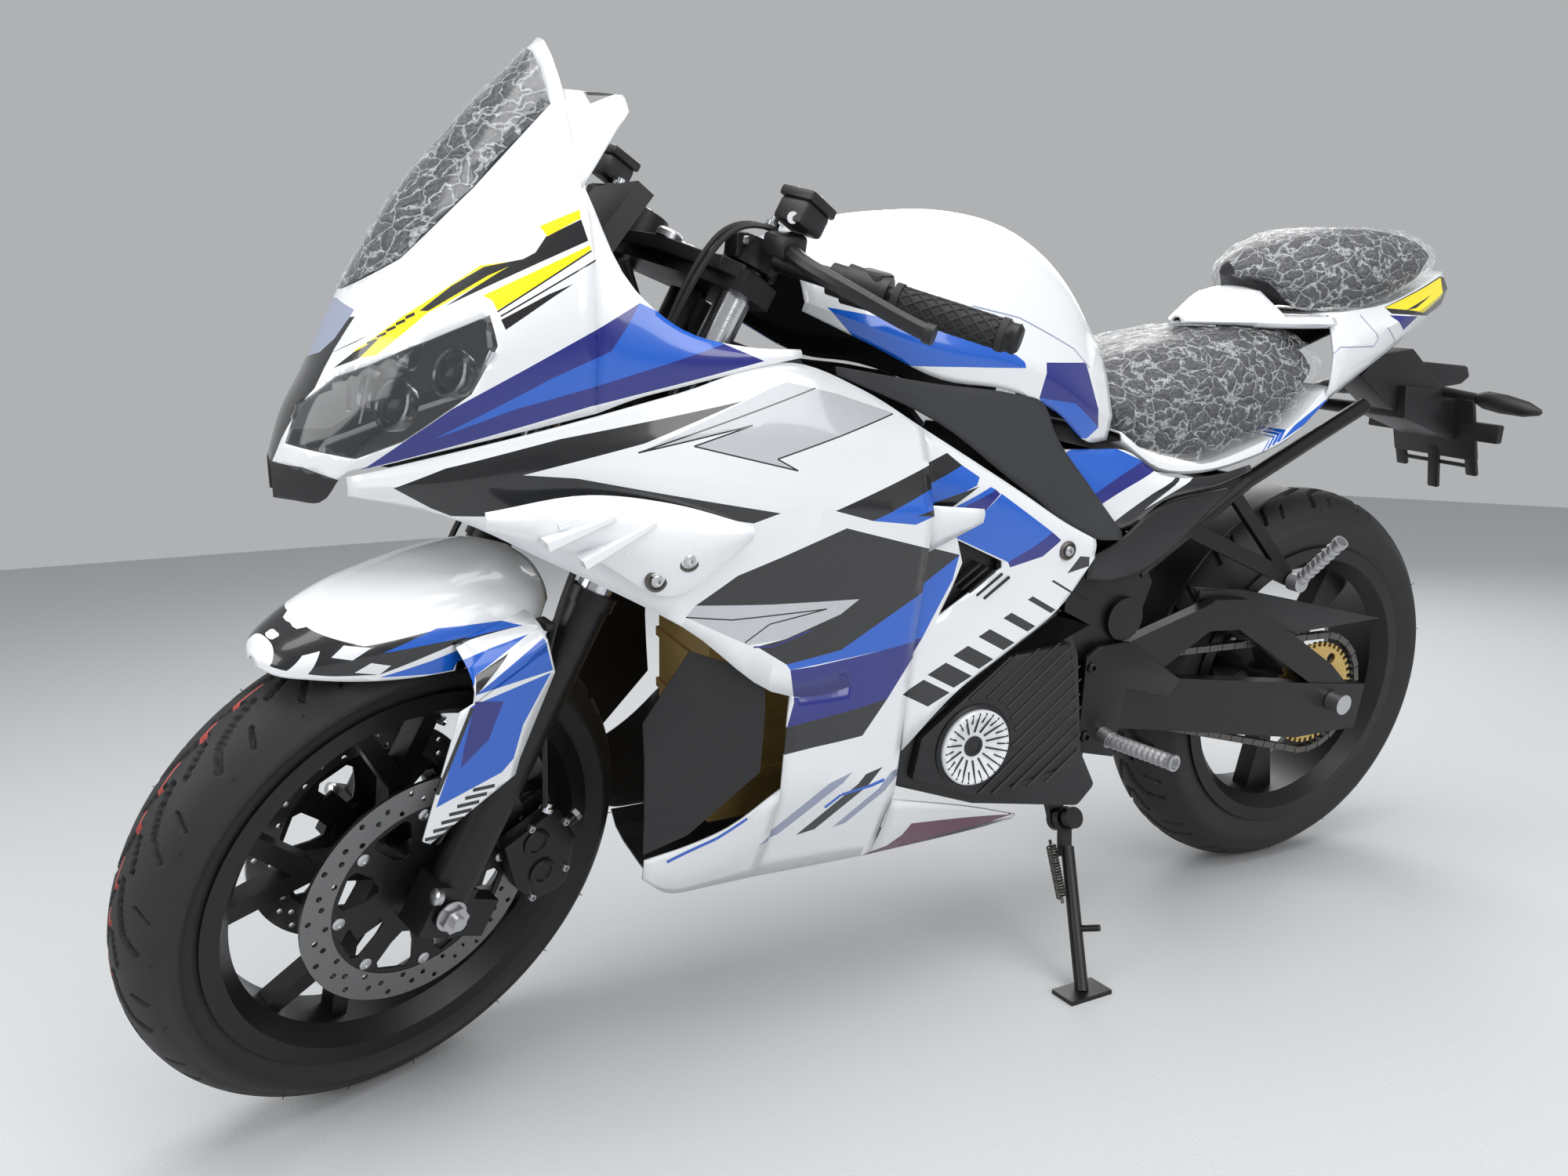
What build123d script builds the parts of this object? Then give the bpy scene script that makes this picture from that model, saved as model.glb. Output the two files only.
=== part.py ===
"""Electric sport motorcycle, leaning on its side stand with the steering at its left stop.

Every sub-part is modelled upright and straight ahead, in millimetres:
x to the rider's left, y to the rear, z up, front axle above the origin.
The last section turns the steering, leans the machine and writes one file per sub-part.
"""
import math
import os

from build123d import *

# Driving sizes
WHEELBASE = 1400.0
FRONT_R = 293.0
FRONT_W = 110.0
FRONT_CROWN_R = 58.0
REAR_R = 314.0
REAR_W = 140.0
REAR_CROWN_R = 72.0
RIM_FLANGE_R = 231.0
BEAD_R = 217.0
RAKE = 27.78
AXLE_LEAD = 38.4
FORK_X = 97.0
FORK_Y = 4.4
FORK_TUBE_R = 19.0
FORK_LOWER_R = 25.0
DISC_R = 139.0
DISC_X = 64.0
AXLE_R = 10.0
STEM_R = 15.0
PIVOT_R = 9.0
SPROCKET_R = 84.0
CHAIN_X = 88.0
PANEL = 3.0
SHELL = 4.5
STEER_LEFT = 22.0
LEAN = 8.0
STAND_PIVOT = (126.0, 883.0, 214.0)

# Clearances
RUNNING_GAP = 0.05
BEAD_GAP = 0.6
DISC_GAP = 6.0
CHAIN_GAP = 5.5
PANEL_GAP = 2.0

# Reference frames
RAKE_SIN = math.sin(math.radians(RAKE))
RAKE_COS = math.cos(math.radians(RAKE))
FRONT_AXLE = (0, 0, FRONT_R)
REAR_AXLE = (0, WHEELBASE, REAR_R)
FRONT_WHEEL = Plane(origin=FRONT_AXLE, x_dir=(0, 1, 0), z_dir=(1, 0, 0))
REAR_WHEEL = Plane(origin=REAR_AXLE, x_dir=(0, 1, 0), z_dir=(1, 0, 0))
FRONT_SECTION = Plane(origin=FRONT_AXLE, x_dir=(1, 0, 0), z_dir=(0, -1, 0))
REAR_SECTION = Plane(origin=REAR_AXLE, x_dir=(1, 0, 0), z_dir=(0, -1, 0))
FRONT_SPIN = Axis(FRONT_AXLE, (1, 0, 0))
REAR_SPIN = Axis(REAR_AXLE, (1, 0, 0))
FORK = Plane(origin=FRONT_AXLE, x_dir=(1, 0, 0), z_dir=(0, RAKE_SIN, RAKE_COS))
STEER_POINT = (0, AXLE_LEAD * RAKE_COS, FRONT_R - AXLE_LEAD * RAKE_SIN)
STEER_AXIS = Axis(STEER_POINT, (0, RAKE_SIN, RAKE_COS))
BOTH = (1, -1)


def fork_point(x, y, s):
    """Point in machine axes from a place beside the steering axis and a height along it."""
    return (x, y * RAKE_COS + s * RAKE_SIN, FRONT_R - y * RAKE_SIN + s * RAKE_COS)


def rod(start, end, radius, mode=Mode.ADD):
    """Round bar between two points."""
    line = Vector(*end) - Vector(*start)
    base = (Align.CENTER, Align.CENTER, Align.MIN)
    with Locations(Plane(origin=start, z_dir=line)):
        Cylinder(radius, line.length, align=base, mode=mode)


def beam(start, end, wide, deep):
    """Square-cornered bar between two points, its wide side along x."""
    line = Vector(*end) - Vector(*start)
    across = Vector(1, 0, 0) - line * (line.X / line.length ** 2)
    with Locations(Plane(origin=start, x_dir=across, z_dir=line)):
        Box(wide, deep, line.length, align=(Align.CENTER, Align.CENTER, Align.MIN))


def slab(outline, x_low, x_high, mode=Mode.ADD):
    """Plate with a side-view outline of (y, z) corners between two x values."""
    with BuildSketch(Plane.YZ.offset(x_low)) as side_view:
        Polygon(*outline, align=None)
    extrude(side_view.sketch, amount=x_high - x_low, mode=mode)


def pair(outline, x_low, x_high):
    """The same plate on the left and on the right side."""
    slab(outline, x_low, x_high)
    slab(outline, -x_high, -x_low)


def inset(points, wall):
    """The same open line moved sideways by the wall, to its right-hand side."""
    result = []
    for i, point in enumerate(points):
        before = points[max(i - 1, 0)]
        after = points[min(i + 1, len(points) - 1)]
        normals = []
        for a, b in ((before, point), (point, after)):
            length = math.hypot(b[0] - a[0], b[1] - a[1])
            if length > 0:
                normals.append(((b[1] - a[1]) / length, (a[0] - b[0]) / length))
        nx = sum(n[0] for n in normals) / len(normals)
        nz = sum(n[1] for n in normals) / len(normals)
        scale = wall / max(nx * nx + nz * nz, 0.35)
        result.append((point[0] + nx * scale, point[1] + nz * scale))
    return result


def section_face(y, loop):
    """Upright cross-section face at one y value from its (x, z) corners."""
    with BuildSketch(Plane.XZ.offset(-y)) as cut:
        Polygon(*loop, align=None)
    return cut.sketch.faces()[0]


def skin(rows, wall, side=1):
    """Loft a sheet panel through upright cross sections, each from its top edge down."""
    faces = []
    for y, points in rows:
        outer = list(points)
        inner = inset(outer, wall)
        faces.append(section_face(y, [(side * x, z) for x, z in outer + inner[::-1]]))
    loft(faces, ruled=True)


def hull(rows):
    """Loft a closed body through upright cross sections, each given as its left half."""
    faces = []
    for y, points in rows:
        loop = list(points) + [(-x, z) for x, z in reversed(points) if x > 0]
        faces.append(section_face(y, loop))
    loft(faces, ruled=True)


def arch(rows, wall):
    """Loft a sheet over the centre line, each section given as its left half, edge first."""
    faces = []
    for y, points in rows:
        outer = list(points) + [(-x, z) for x, z in reversed(points) if x > 0]
        inner = inset(outer, -wall)
        faces.append(section_face(y, outer + inner[::-1]))
    loft(faces, ruled=True)


def tyre_ring(section, spin, radius, width, crown):
    """Hollow tyre with a round crown, two sidewalls and two beads."""
    half = width / 2
    edge_x = crown * math.sin(math.radians(50))
    edge_r = radius - crown + crown * math.cos(math.radians(50))
    bead_x = half - 11
    seat = BEAD_R + BEAD_GAP
    mid_r = edge_r - 20
    with BuildSketch(section) as profile:
        with BuildLine():
            ThreePointArc((-edge_x, edge_r), (0, radius), (edge_x, edge_r))
            ThreePointArc((edge_x, edge_r), (half, mid_r), (bead_x, RIM_FLANGE_R))
            Line((bead_x, RIM_FLANGE_R), (bead_x, seat))
            Line((bead_x, seat), (bead_x - 9, seat))
            Line((bead_x - 9, seat), (half - 9, mid_r))
            ThreePointArc((half - 9, mid_r), (0, radius - 9), (9 - half, mid_r))
            Line((9 - half, mid_r), (9 - bead_x, seat))
            Line((9 - bead_x, seat), (-bead_x, seat))
            Line((-bead_x, seat), (-bead_x, RIM_FLANGE_R))
            ThreePointArc((-bead_x, RIM_FLANGE_R), (-half, mid_r), (-edge_x, edge_r))
        make_face()
    revolve(profile.sketch, axis=spin)


def rim_barrel(section, spin, width):
    """Cast rim barrel with flanges, bead seats and a dropped centre."""
    bead_x = width / 2 - 11
    out = bead_x + BEAD_GAP
    with BuildSketch(section) as profile:
        Polygon(
            (-out - 4, RIM_FLANGE_R),
            (-out, RIM_FLANGE_R),
            (-out, BEAD_R),
            (-out + 16, BEAD_R - 2),
            (-out + 24, BEAD_R - 16),
            (out - 24, BEAD_R - 16),
            (out - 16, BEAD_R - 2),
            (out, BEAD_R),
            (out, RIM_FLANGE_R),
            (out + 4, RIM_FLANGE_R),
            (out + 4, BEAD_R - 6),
            (out - 18, BEAD_R - 23),
            (-out + 18, BEAD_R - 23),
            (-out - 4, BEAD_R - 6),
            align=None,
        )
    revolve(profile.sketch, axis=spin)


# Front wheel: tyre, cast rim with five split spokes, two discs on carriers
with BuildPart() as front_tyre:
    tyre_ring(FRONT_SECTION, FRONT_SPIN, FRONT_R, FRONT_W, FRONT_CROWN_R)

SPOKE_COUNT = 5
SPLIT_SPOKE = [
    (28, -17),
    (105, -12),
    (196, -58),
    (200, -40),
    (128, 0),
    (200, 40),
    (196, 58),
    (105, 12),
    (28, 17),
]
WIDE_SPOKE = [(36, -22), (110, -13), (200, -30), (200, 30), (110, 13), (36, 22)]
with BuildPart(FRONT_WHEEL) as front_rim:
    rim_barrel(FRONT_SECTION, FRONT_SPIN, FRONT_W)
    Cylinder(34, 104)
    with BuildSketch(FRONT_WHEEL):
        with PolarLocations(0, SPOKE_COUNT, start_angle=18):
            Polygon(*SPLIT_SPOKE, align=None)
    extrude(amount=13, both=True)
    for side in BOTH:
        with Locations((0, 0, side * (DISC_X - 4))):
            Cylinder(46, 4)
            with PolarLocations(62, 5, start_angle=54):
                Box(44, 20, 4)
    Cylinder(AXLE_R + RUNNING_GAP, 140, mode=Mode.SUBTRACT)

with BuildPart(FRONT_WHEEL) as front_discs:
    for side in BOTH:
        with Locations((0, 0, side * DISC_X)):
            Cylinder(DISC_R, 4)
            Cylinder(DISC_R - 61, 4.2, mode=Mode.SUBTRACT)

# Rear wheel: tyre, rim, sprocket on the left, disc on the right
with BuildPart() as rear_tyre:
    tyre_ring(REAR_SECTION, REAR_SPIN, REAR_R, REAR_W, REAR_CROWN_R)

with BuildPart(REAR_WHEEL) as rear_rim:
    rim_barrel(REAR_SECTION, REAR_SPIN, REAR_W)
    with Locations((0, 0, 1)):
        Cylinder(44, 150)
    with BuildSketch(REAR_WHEEL):
        with PolarLocations(0, SPOKE_COUNT, start_angle=54):
            Polygon(*WIDE_SPOKE, align=None)
    extrude(amount=15, both=True)
    Cylinder(AXLE_R + RUNNING_GAP, 200, mode=Mode.SUBTRACT)

TEETH = 42
with BuildPart(REAR_WHEEL) as rear_sprocket:
    with Locations((0, 0, CHAIN_X)):
        Cylinder(SPROCKET_R - 7, 6)
        with PolarLocations(SPROCKET_R - 6, TEETH):
            Box(12, 5, 6)
        Cylinder(46, 7, mode=Mode.SUBTRACT)
        with PolarLocations(62, 6):
            Cylinder(9, 7, mode=Mode.SUBTRACT)
    with Locations((0, 0, CHAIN_X - 6)):
        Cylinder(50, 12)
        Cylinder(AXLE_R + 8, 13, mode=Mode.SUBTRACT)

with BuildPart(REAR_WHEEL) as rear_disc:
    with Locations((0, 0, 3 - CHAIN_X)):
        Cylinder(110, 4)
        Cylinder(45, 4.2, mode=Mode.SUBTRACT)

# Steering: fork, clamps, bars, fender, calipers, hoses and axle
with BuildPart(FORK) as fork_lowers:
    for side in BOTH:
        with Locations((side * FORK_X, FORK_Y, 175)):
            Cylinder(FORK_LOWER_R, 390)
        with Locations((side * FORK_X, FORK_Y, 372)):
            Cylinder(FORK_LOWER_R + 3, 16)
        with Locations((side * FORK_X, 0, 0)):
            Box(42, 50, 60)
        with Locations((side * FORK_X, 42, -10)):
            Box(22, 60, 46)
        with Locations((side * FORK_X, FORK_Y, 380)):
            Cylinder(FORK_TUBE_R, 40, mode=Mode.SUBTRACT)
        with Locations(Location((side * FORK_X, 0, 0), (0, 90, 0))):
            Cylinder(AXLE_R, 60, mode=Mode.SUBTRACT)

with BuildPart(FORK) as fork_tubes:
    for side in BOTH:
        with Locations((side * FORK_X, FORK_Y, 360)):
            Cylinder(FORK_TUBE_R, 432, align=(Align.CENTER, Align.CENTER, Align.MIN))

CLAMP_LEVELS = ((548, 34), (740, 24))
CLAMP_OUTLINE = [
    (-128, -22),
    (-60, -30),
    (60, -30),
    (128, -22),
    (128, 26),
    (40, 66),
    (-40, 66),
    (-128, 26),
]
with BuildPart(FORK) as triple_clamps:
    for height, deep in CLAMP_LEVELS:
        with BuildSketch(FORK.offset(height - deep / 2)):
            Polygon(*CLAMP_OUTLINE, align=None)
        extrude(amount=deep)
    with Locations((0, AXLE_LEAD, 640)):
        Cylinder(STEM_R, 230)
    for side in BOTH:
        with Locations((side * FORK_X, FORK_Y, 640)):
            Cylinder(FORK_TUBE_R, 260, mode=Mode.SUBTRACT)

BAR_IN = (112.0, 4.0, 778.0)
BAR_OUT = (362.0, 112.0, 800.0)


def along_bar(t):
    """Point on the left bar in the fork frame, t = 0 at the clamp and 1 at the end."""
    return tuple(a + (b - a) * t for a, b in zip(BAR_IN, BAR_OUT))


def on_side(point, side):
    """The same fork-frame point on the left (1) or right (-1) side, in machine axes."""
    return fork_point(side * point[0], point[1], point[2])


with BuildPart() as handlebars:
    for side in BOTH:
        rod(on_side((FORK_X, FORK_Y, 758), side), on_side((FORK_X, FORK_Y, 790), side), 30)
        rod(on_side(BAR_IN, side), on_side(along_bar(0.52), side), 11)
        rod(on_side(along_bar(0.985), side), on_side(along_bar(1.1), side), 16)
    for side in BOTH:
        tube_low = on_side((FORK_X, FORK_Y, 740), side)
        tube_high = on_side((FORK_X, FORK_Y, 800), side)
        rod(tube_low, tube_high, FORK_TUBE_R, mode=Mode.SUBTRACT)

with BuildPart() as grips:
    for side in BOTH:
        rod(on_side(along_bar(0.52), side), on_side(along_bar(0.985), side), 17)

with BuildPart() as controls:
    for side in BOTH:
        rod(on_side(along_bar(0.34), side), on_side(along_bar(0.515), side), 23)
        rod(on_side((158, -20, 806), side), on_side((158, -20, 842), side), 27)
        rod(on_side((158, -20, 776), side), on_side((158, -20, 806), side), 12)
        rod(on_side((172, 38, 783), side), on_side((166, -24, 777), side), 15)
        rod(on_side((168, -22, 775), side), on_side((318, 46, 762), side), 7)
        rod(on_side((314, 44, 762), side), on_side((326, 50, 761), side), 9)
    for side in BOTH:
        bar_end = on_side(along_bar(0.6), side)
        rod(on_side(BAR_IN, side), bar_end, 11, mode=Mode.SUBTRACT)

FENDER_ROWS = [
    (-152, [(54, 600), (50, 611), (28, 618), (0, 621)]),
    (-100, [(72, 583), (70, 605), (40, 631), (0, 638)]),
    (-50, [(80, 572), (78, 605), (45, 641), (0, 650)]),
    (30, [(88, 560), (85, 605), (50, 649), (0, 658)]),
    (105, [(90, 575), (86, 612), (50, 645), (0, 654)]),
    (138, [(62, 600), (60, 618), (40, 633), (0, 638)]),
]
with BuildPart() as front_fender:
    arch(FENDER_ROWS, PANEL)
    for side in BOTH:
        flare = [
            (20, [(84, 600), (100, 592), (127, 560), (127, 552)]),
            (104, [(84, 620), (100, 615), (127, 585), (127, 575)]),
        ]
        skin(flare, PANEL, side)
        low = min(side * 124, side * 127)
        slab([(20, 562), (104, 588), (108, 558), (75, 444), (-36, 408), (31, 545)], low, low + 3)
        for y, z in ((96, 540), (52, 440)):
            rod((side * 119, y, z), (side * 129, y, z), 9)

with BuildPart() as calipers:
    for side in BOTH:
        for x_low, x_high in ((40, DISC_X - 2 - DISC_GAP), (DISC_X + 2 + DISC_GAP, 96)):
            low, high = sorted((side * x_low, side * x_high))
            slab([(80, 330), (146, 350), (173, 300), (166, 244), (128, 228), (98, 262)], low, high)
        low, high = sorted((side * 40, side * 96))
        slab([(146, 350), (158, 352), (186, 300), (177, 238), (166, 244), (173, 300)], low, high)

with BuildPart() as brake_hoses:
    for side in BOTH:
        with BuildLine():
            FilletPolyline(
                (side * 78, 190, 345),
                (side * 92, 205, 420),
                (side * 92, 195, 560),
                (side * 60, 255, 700),
                radius=45,
            )
        with BuildSketch(Plane(origin=(side * 78, 190, 345), z_dir=(side * 14, 15, 75))):
            Circle(4)
        sweep()

with BuildPart() as front_axle:
    rod((-125, 0, FRONT_R), (125, 0, FRONT_R), AXLE_R)
    for side in BOTH:
        rod((side * 122.5, 0, FRONT_R), (side * 131, 0, FRONT_R), 17)

# Chassis: frame, subframe, battery, motor and covers
HEAD_LOW = fork_point(0, AXLE_LEAD, 572)
HEAD_HIGH = fork_point(0, AXLE_LEAD, 721)
PIVOT_PLATE = [
    (850, 600),
    (905, 642),
    (960, 610),
    (1000, 545),
    (985, 500),
    (915, 455),
    (905, 250),
    (862, 250),
    (855, 330),
]
STAND_DOWN = Vector(0.602, -0.285, -0.749).normalized()
STAND_PIN = Vector(0.878, 0, 0.479)
STAND_EAR = Vector(-0.479, 0, 0.878)
pivot = Vector(*STAND_PIVOT)
with BuildPart() as frame:
    rod(HEAD_LOW, HEAD_HIGH, 27)
    for side in BOTH:
        beam((side * 22, 345, 850), (side * 70, 480, 800), 26, 70)
        beam((side * 70, 480, 800), (side * 113, 905, 560), 26, 66)
        beam((side * 22, 330, 805), (side * 70, 460, 740), 22, 34)
        beam((side * 70, 460, 740), (side * 98, 660, 690), 22, 40)
    pair(PIVOT_PLATE, 104, 122)
    rod((-104, 880, 560), (104, 880, 560), 16)
    rod((-104, 885, 265), (104, 885, 265), 12)
    for side in BOTH:
        rod((side * 120, 952, 499), (side * 130, 952, 499), 30)
        rod((side * 113, 975, 560), (side * 96, 1180, 668), 13)
        rod((side * 96, 1180, 668), (side * 70, 1440, 765), 12)
        rod((side * 100, 905, 640), (side * 92, 1180, 668), 12)
        beam((side * 112, 1070, 610), (side * 140, 1246, 530), 10, 22)
        beam((side * 100, 1150, 660), (side * 140, 1246, 530), 10, 18)
        rod((side * 40, 276, 950), (side * 14, 318, 850), 6)
    rod((-96, 1180, 668), (96, 1180, 668), 10)
    rod((-72, 1430, 762), (72, 1430, 762), 10)
    rod((-96, 978, 652), (96, 978, 652), 8)
    with Locations(Plane(origin=pivot, x_dir=STAND_DOWN, z_dir=STAND_PIN)):
        Cylinder(6, 44)
        for lift in (-17, 17):
            with Locations((0, 0, lift)):
                Cylinder(15, 10)
    with Locations(Plane(origin=pivot - STAND_PIN * 17, x_dir=STAND_EAR, z_dir=STAND_PIN)):
        with Locations((30, 0, 0)):
            Box(60, 26, 10)
    rod(HEAD_LOW, HEAD_HIGH, STEM_R + RUNNING_GAP, mode=Mode.SUBTRACT)

with BuildPart() as battery_box:
    with Locations((0, 500, 460)):
        Box(166, 280, 330)
    for level in (350, 420, 490, 560):
        with Locations((0, 500, level)):
            Box(174, 286, 12)

with BuildPart() as motor:
    rod((-100, 765, 365), (78, 765, 365), 105)
    with Locations((0, 745, 520)):
        Box(150, 190, 110)
    beam((60, 765, 365), (60, 905, 395), 36, 60)
    rod((60, 905, 395), (CHAIN_X + 6, 905, 395), 28)

COVER = [
    (829, 525),
    (853, 469),
    (874, 331),
    (905, 275),
    (877, 247),
    (700, 285),
    (581, 332),
    (562, 359),
    (590, 425),
    (700, 500),
    (780, 548),
]
with BuildPart() as motor_covers:
    pair(COVER, 124, 158)
    for side in BOTH:
        low = min(side * 158, side * 172)
        slab([(828, 480), (848, 350), (700, 310), (600, 350), (612, 400), (730, 480)], low, low + 14)

with BuildPart() as cover_discs:
    for side in BOTH:
        rod((side * 172.5, 682, 376), (side * 182, 682, 376), 50)

# Swingarm with its brace, shock, chain and guards
ARM = [(925, 420), (925, 345), (1330, 262), (1465, 258), (1475, 330), (1330, 352)]
BRACE = [
    (945, 415),
    (966, 462),
    (1132, 505),
    (1190, 500),
    (1393, 372),
    (1440, 330),
    (1370, 335),
    (1180, 455),
    (1120, 460),
    (1010, 400),
]
with BuildPart() as swingarm:
    pair(ARM, 104, 126)
    pair(BRACE, 106, 124)
    rod((-104, 955, 396), (104, 955, 396), 17)
    with Locations((0, 1052, 376)):
        Box(210, 36, 50)
    with BuildSketch(REAR_WHEEL.offset(-62)) as hugger:
        with BuildLine():
            low_start = PolarLine((0, 0), REAR_R + 22, 104, mode=Mode.PRIVATE) @ 1
            low_end = PolarLine((0, 0), REAR_R + 22, 166, mode=Mode.PRIVATE) @ 1
            high_start = PolarLine((0, 0), REAR_R + 26, 104, mode=Mode.PRIVATE) @ 1
            high_end = PolarLine((0, 0), REAR_R + 26, 166, mode=Mode.PRIVATE) @ 1
            CenterArc((0, 0), REAR_R + 22, 104, 62)
            CenterArc((0, 0), REAR_R + 26, 104, 62)
            Line(low_start, high_start)
            Line(low_end, high_end)
        make_face()
    extrude(amount=124)
    with Locations((0, 1070, 392)):
        Box(110, 12, 30)
    with Locations(Location((0, WHEELBASE, REAR_R), (0, 90, 0))):
        Cylinder(AXLE_R, 300, mode=Mode.SUBTRACT)

with BuildPart() as rear_axle:
    rod((-144, WHEELBASE, REAR_R), (144, WHEELBASE, REAR_R), AXLE_R)
    for side in BOTH:
        rod((side * 127, WHEELBASE, REAR_R), (side * 150, WHEELBASE, REAR_R), 16)

with BuildPart() as shock:
    rod((0, 1046, 420), (0, 1010, 500), 12)
    rod((0, 1010, 500), (0, 985, 612), 27)
    rod((0, 985, 612), (0, 979, 643), 13)

FRONT_SPROCKET = (905.0, 395.0, 28.0)
CHAIN_INNER = SPROCKET_R + CHAIN_GAP


def chain_loop(grow):
    """Outline around both sprockets, moved outwards by the given amount."""
    y1, z1, r1 = FRONT_SPROCKET
    y2, z2, r2 = WHEELBASE, REAR_R, CHAIN_INNER
    r1 += grow
    r2 += grow
    reach = math.hypot(y2 - y1, z2 - z1)
    line = math.atan2(z2 - z1, y2 - y1)
    spread = math.acos((r1 - r2) / reach)
    up = line + spread
    down = line - spread
    a = (y1 + r1 * math.cos(up), z1 + r1 * math.sin(up))
    b = (y2 + r2 * math.cos(up), z2 + r2 * math.sin(up))
    c = (y2 + r2 * math.cos(down), z2 + r2 * math.sin(down))
    d = (y1 + r1 * math.cos(down), z1 + r1 * math.sin(down))
    back = (y2 + r2 * math.cos(line), z2 + r2 * math.sin(line))
    front = (y1 - r1 * math.cos(line), z1 - r1 * math.sin(line))
    with BuildSketch(Plane.YZ.offset(CHAIN_X - 6)) as loop:
        with BuildLine():
            Line(a, b)
            ThreePointArc(b, back, c)
            Line(c, d)
            ThreePointArc(d, front, a)
        make_face()
    return loop.sketch


with BuildPart() as chain:
    extrude(chain_loop(12), amount=12)
    extrude(chain_loop(0.2), amount=12, mode=Mode.SUBTRACT)

with BuildPart() as chain_guards:
    slab([(1105, 520), (1200, 508), (1522, 427), (1330, 425), (1200, 462), (1120, 490)], 96, 101)
    slab([(1110, 516), (1160, 512), (1160, 500), (1110, 504)], 96, 106)

# Upper cowl, screen, headlight and chin, all cut from one shell
COWL_ROWS = [
    (-88, [(26, 716), (27, 726), (26, 738), (22, 748), (14, 753), (0, 756)]),
    (-72, [(52, 717), (56, 735), (54, 760), (44, 780), (24, 795), (0, 800)]),
    (-50, [(78, 718), (83, 740), (80, 780), (62, 815), (32, 833), (0, 838)]),
    (-25, [(104, 751), (106, 757), (104, 782), (88, 830), (50, 868), (0, 890)]),
    (0, [(118, 757), (124, 775), (122, 815), (108, 860), (62, 905), (0, 934)]),
    (40, [(134, 768), (146, 800), (143, 850), (122, 895), (78, 945), (0, 997)]),
    (111, [(156, 786), (166, 835), (163, 885), (140, 930), (95, 995), (0, 1080)]),
    (200, [(175, 808), (182, 860), (176, 940), (150, 1017), (108, 1080), (0, 1168)]),
]
SCREEN_VIEW = [
    (-60, 1240),
    (-60, 905),
    (-8, 918),
    (40, 948),
    (111, 1015),
    (188, 1096),
    (188, 1240),
]
LENS_VIEW = [
    (-74, 772),
    (-61, 808),
    (-26, 839),
    (36, 870),
    (105, 900),
    (109, 872),
    (84, 828),
    (23, 782),
    (-18, 764),
]
CHIN_VIEW = [(-100, 690), (-100, 752), (-62, 752), (-28, 741), (-28, 690)]
COCKPIT_ROWS = [
    (200, [(150, 1017), (176, 940), (182, 860), (175, 808)]),
    (240, [(176, 925), (182, 890), (184, 850), (180, 822)]),
    (287, [(181, 888), (186, 870), (187, 850), (185, 833)]),
    (355, [(182, 871), (187, 864), (188, 856), (188, 848)]),
    (415, [(186, 868), (189, 866), (190, 864), (190, 860)]),
]
WING_ROWS = [
    (198, [(72, 1112), (108, 1080), (130, 1050), (150, 1017)]),
    (257, [(96, 1108), (103, 1104), (108, 1099), (113, 1093)]),
]


PAD_MIDDLE = (114.0, 122.0, 972.0)
PAD_OUT = (0.690, -0.545, 0.478)
PAD_PCD = 22.0
PAD_HOLE_R = 3.0


def shifted(outline, grow):
    """Outline moved away from its middle by the given amount."""
    cy = sum(p[0] for p in outline) / len(outline)
    cz = sum(p[1] for p in outline) / len(outline)
    moved = []
    for y, z in outline:
        reach = math.hypot(y - cy, z - cz)
        moved.append((y + (y - cy) / reach * grow, z + (z - cz) / reach * grow))
    return moved


with BuildPart() as upper_cowl:
    arch(COWL_ROWS, SHELL)
    with Locations((0, -86, 736)):
        Box(50, 4, 38)
    for side in BOTH:
        skin(COCKPIT_ROWS, PANEL, side)
        skin(WING_ROWS, PANEL, side)
    slab(SCREEN_VIEW, -220, 220, mode=Mode.SUBTRACT)
    slab(CHIN_VIEW, -220, 220, mode=Mode.SUBTRACT)
    slab(LENS_VIEW, 22, 220, mode=Mode.SUBTRACT)
    slab(LENS_VIEW, -220, -22, mode=Mode.SUBTRACT)
    for side in BOTH:
        out = Vector(side * PAD_OUT[0], PAD_OUT[1], PAD_OUT[2])
        middle = Vector(side * PAD_MIDDLE[0], PAD_MIDDLE[1], PAD_MIDDLE[2])
        rod(middle - out * 12, middle + out * 5, 18)
        with Locations(Plane(origin=middle, x_dir=(0, 0.66, 0.75), z_dir=out)):
            with PolarLocations(PAD_PCD / 2, 2):
                Cylinder(PAD_HOLE_R, 40, mode=Mode.SUBTRACT)

with BuildPart() as windscreen:
    arch(COWL_ROWS, SHELL - 0.5)
    slab(shifted(SCREEN_VIEW, -PANEL_GAP), -220, 220, mode=Mode.INTERSECT)

with BuildPart() as headlight:
    arch(COWL_ROWS, SHELL - 0.5)
    slab(shifted(LENS_VIEW, -1.0), -220, 220, mode=Mode.INTERSECT)
    with Locations((0, 0, 800)):
        Box(48, 400, 400, mode=Mode.SUBTRACT)

with BuildPart() as chin_intake:
    arch(COWL_ROWS, SHELL + 2)
    with Locations((0, -84, 734)):
        Box(50, 8, 36)
    slab([(-100, 690), (-100, 750), (-62, 750), (-30, 739), (-30, 690)], -220, 220, mode=Mode.INTERSECT)

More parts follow.
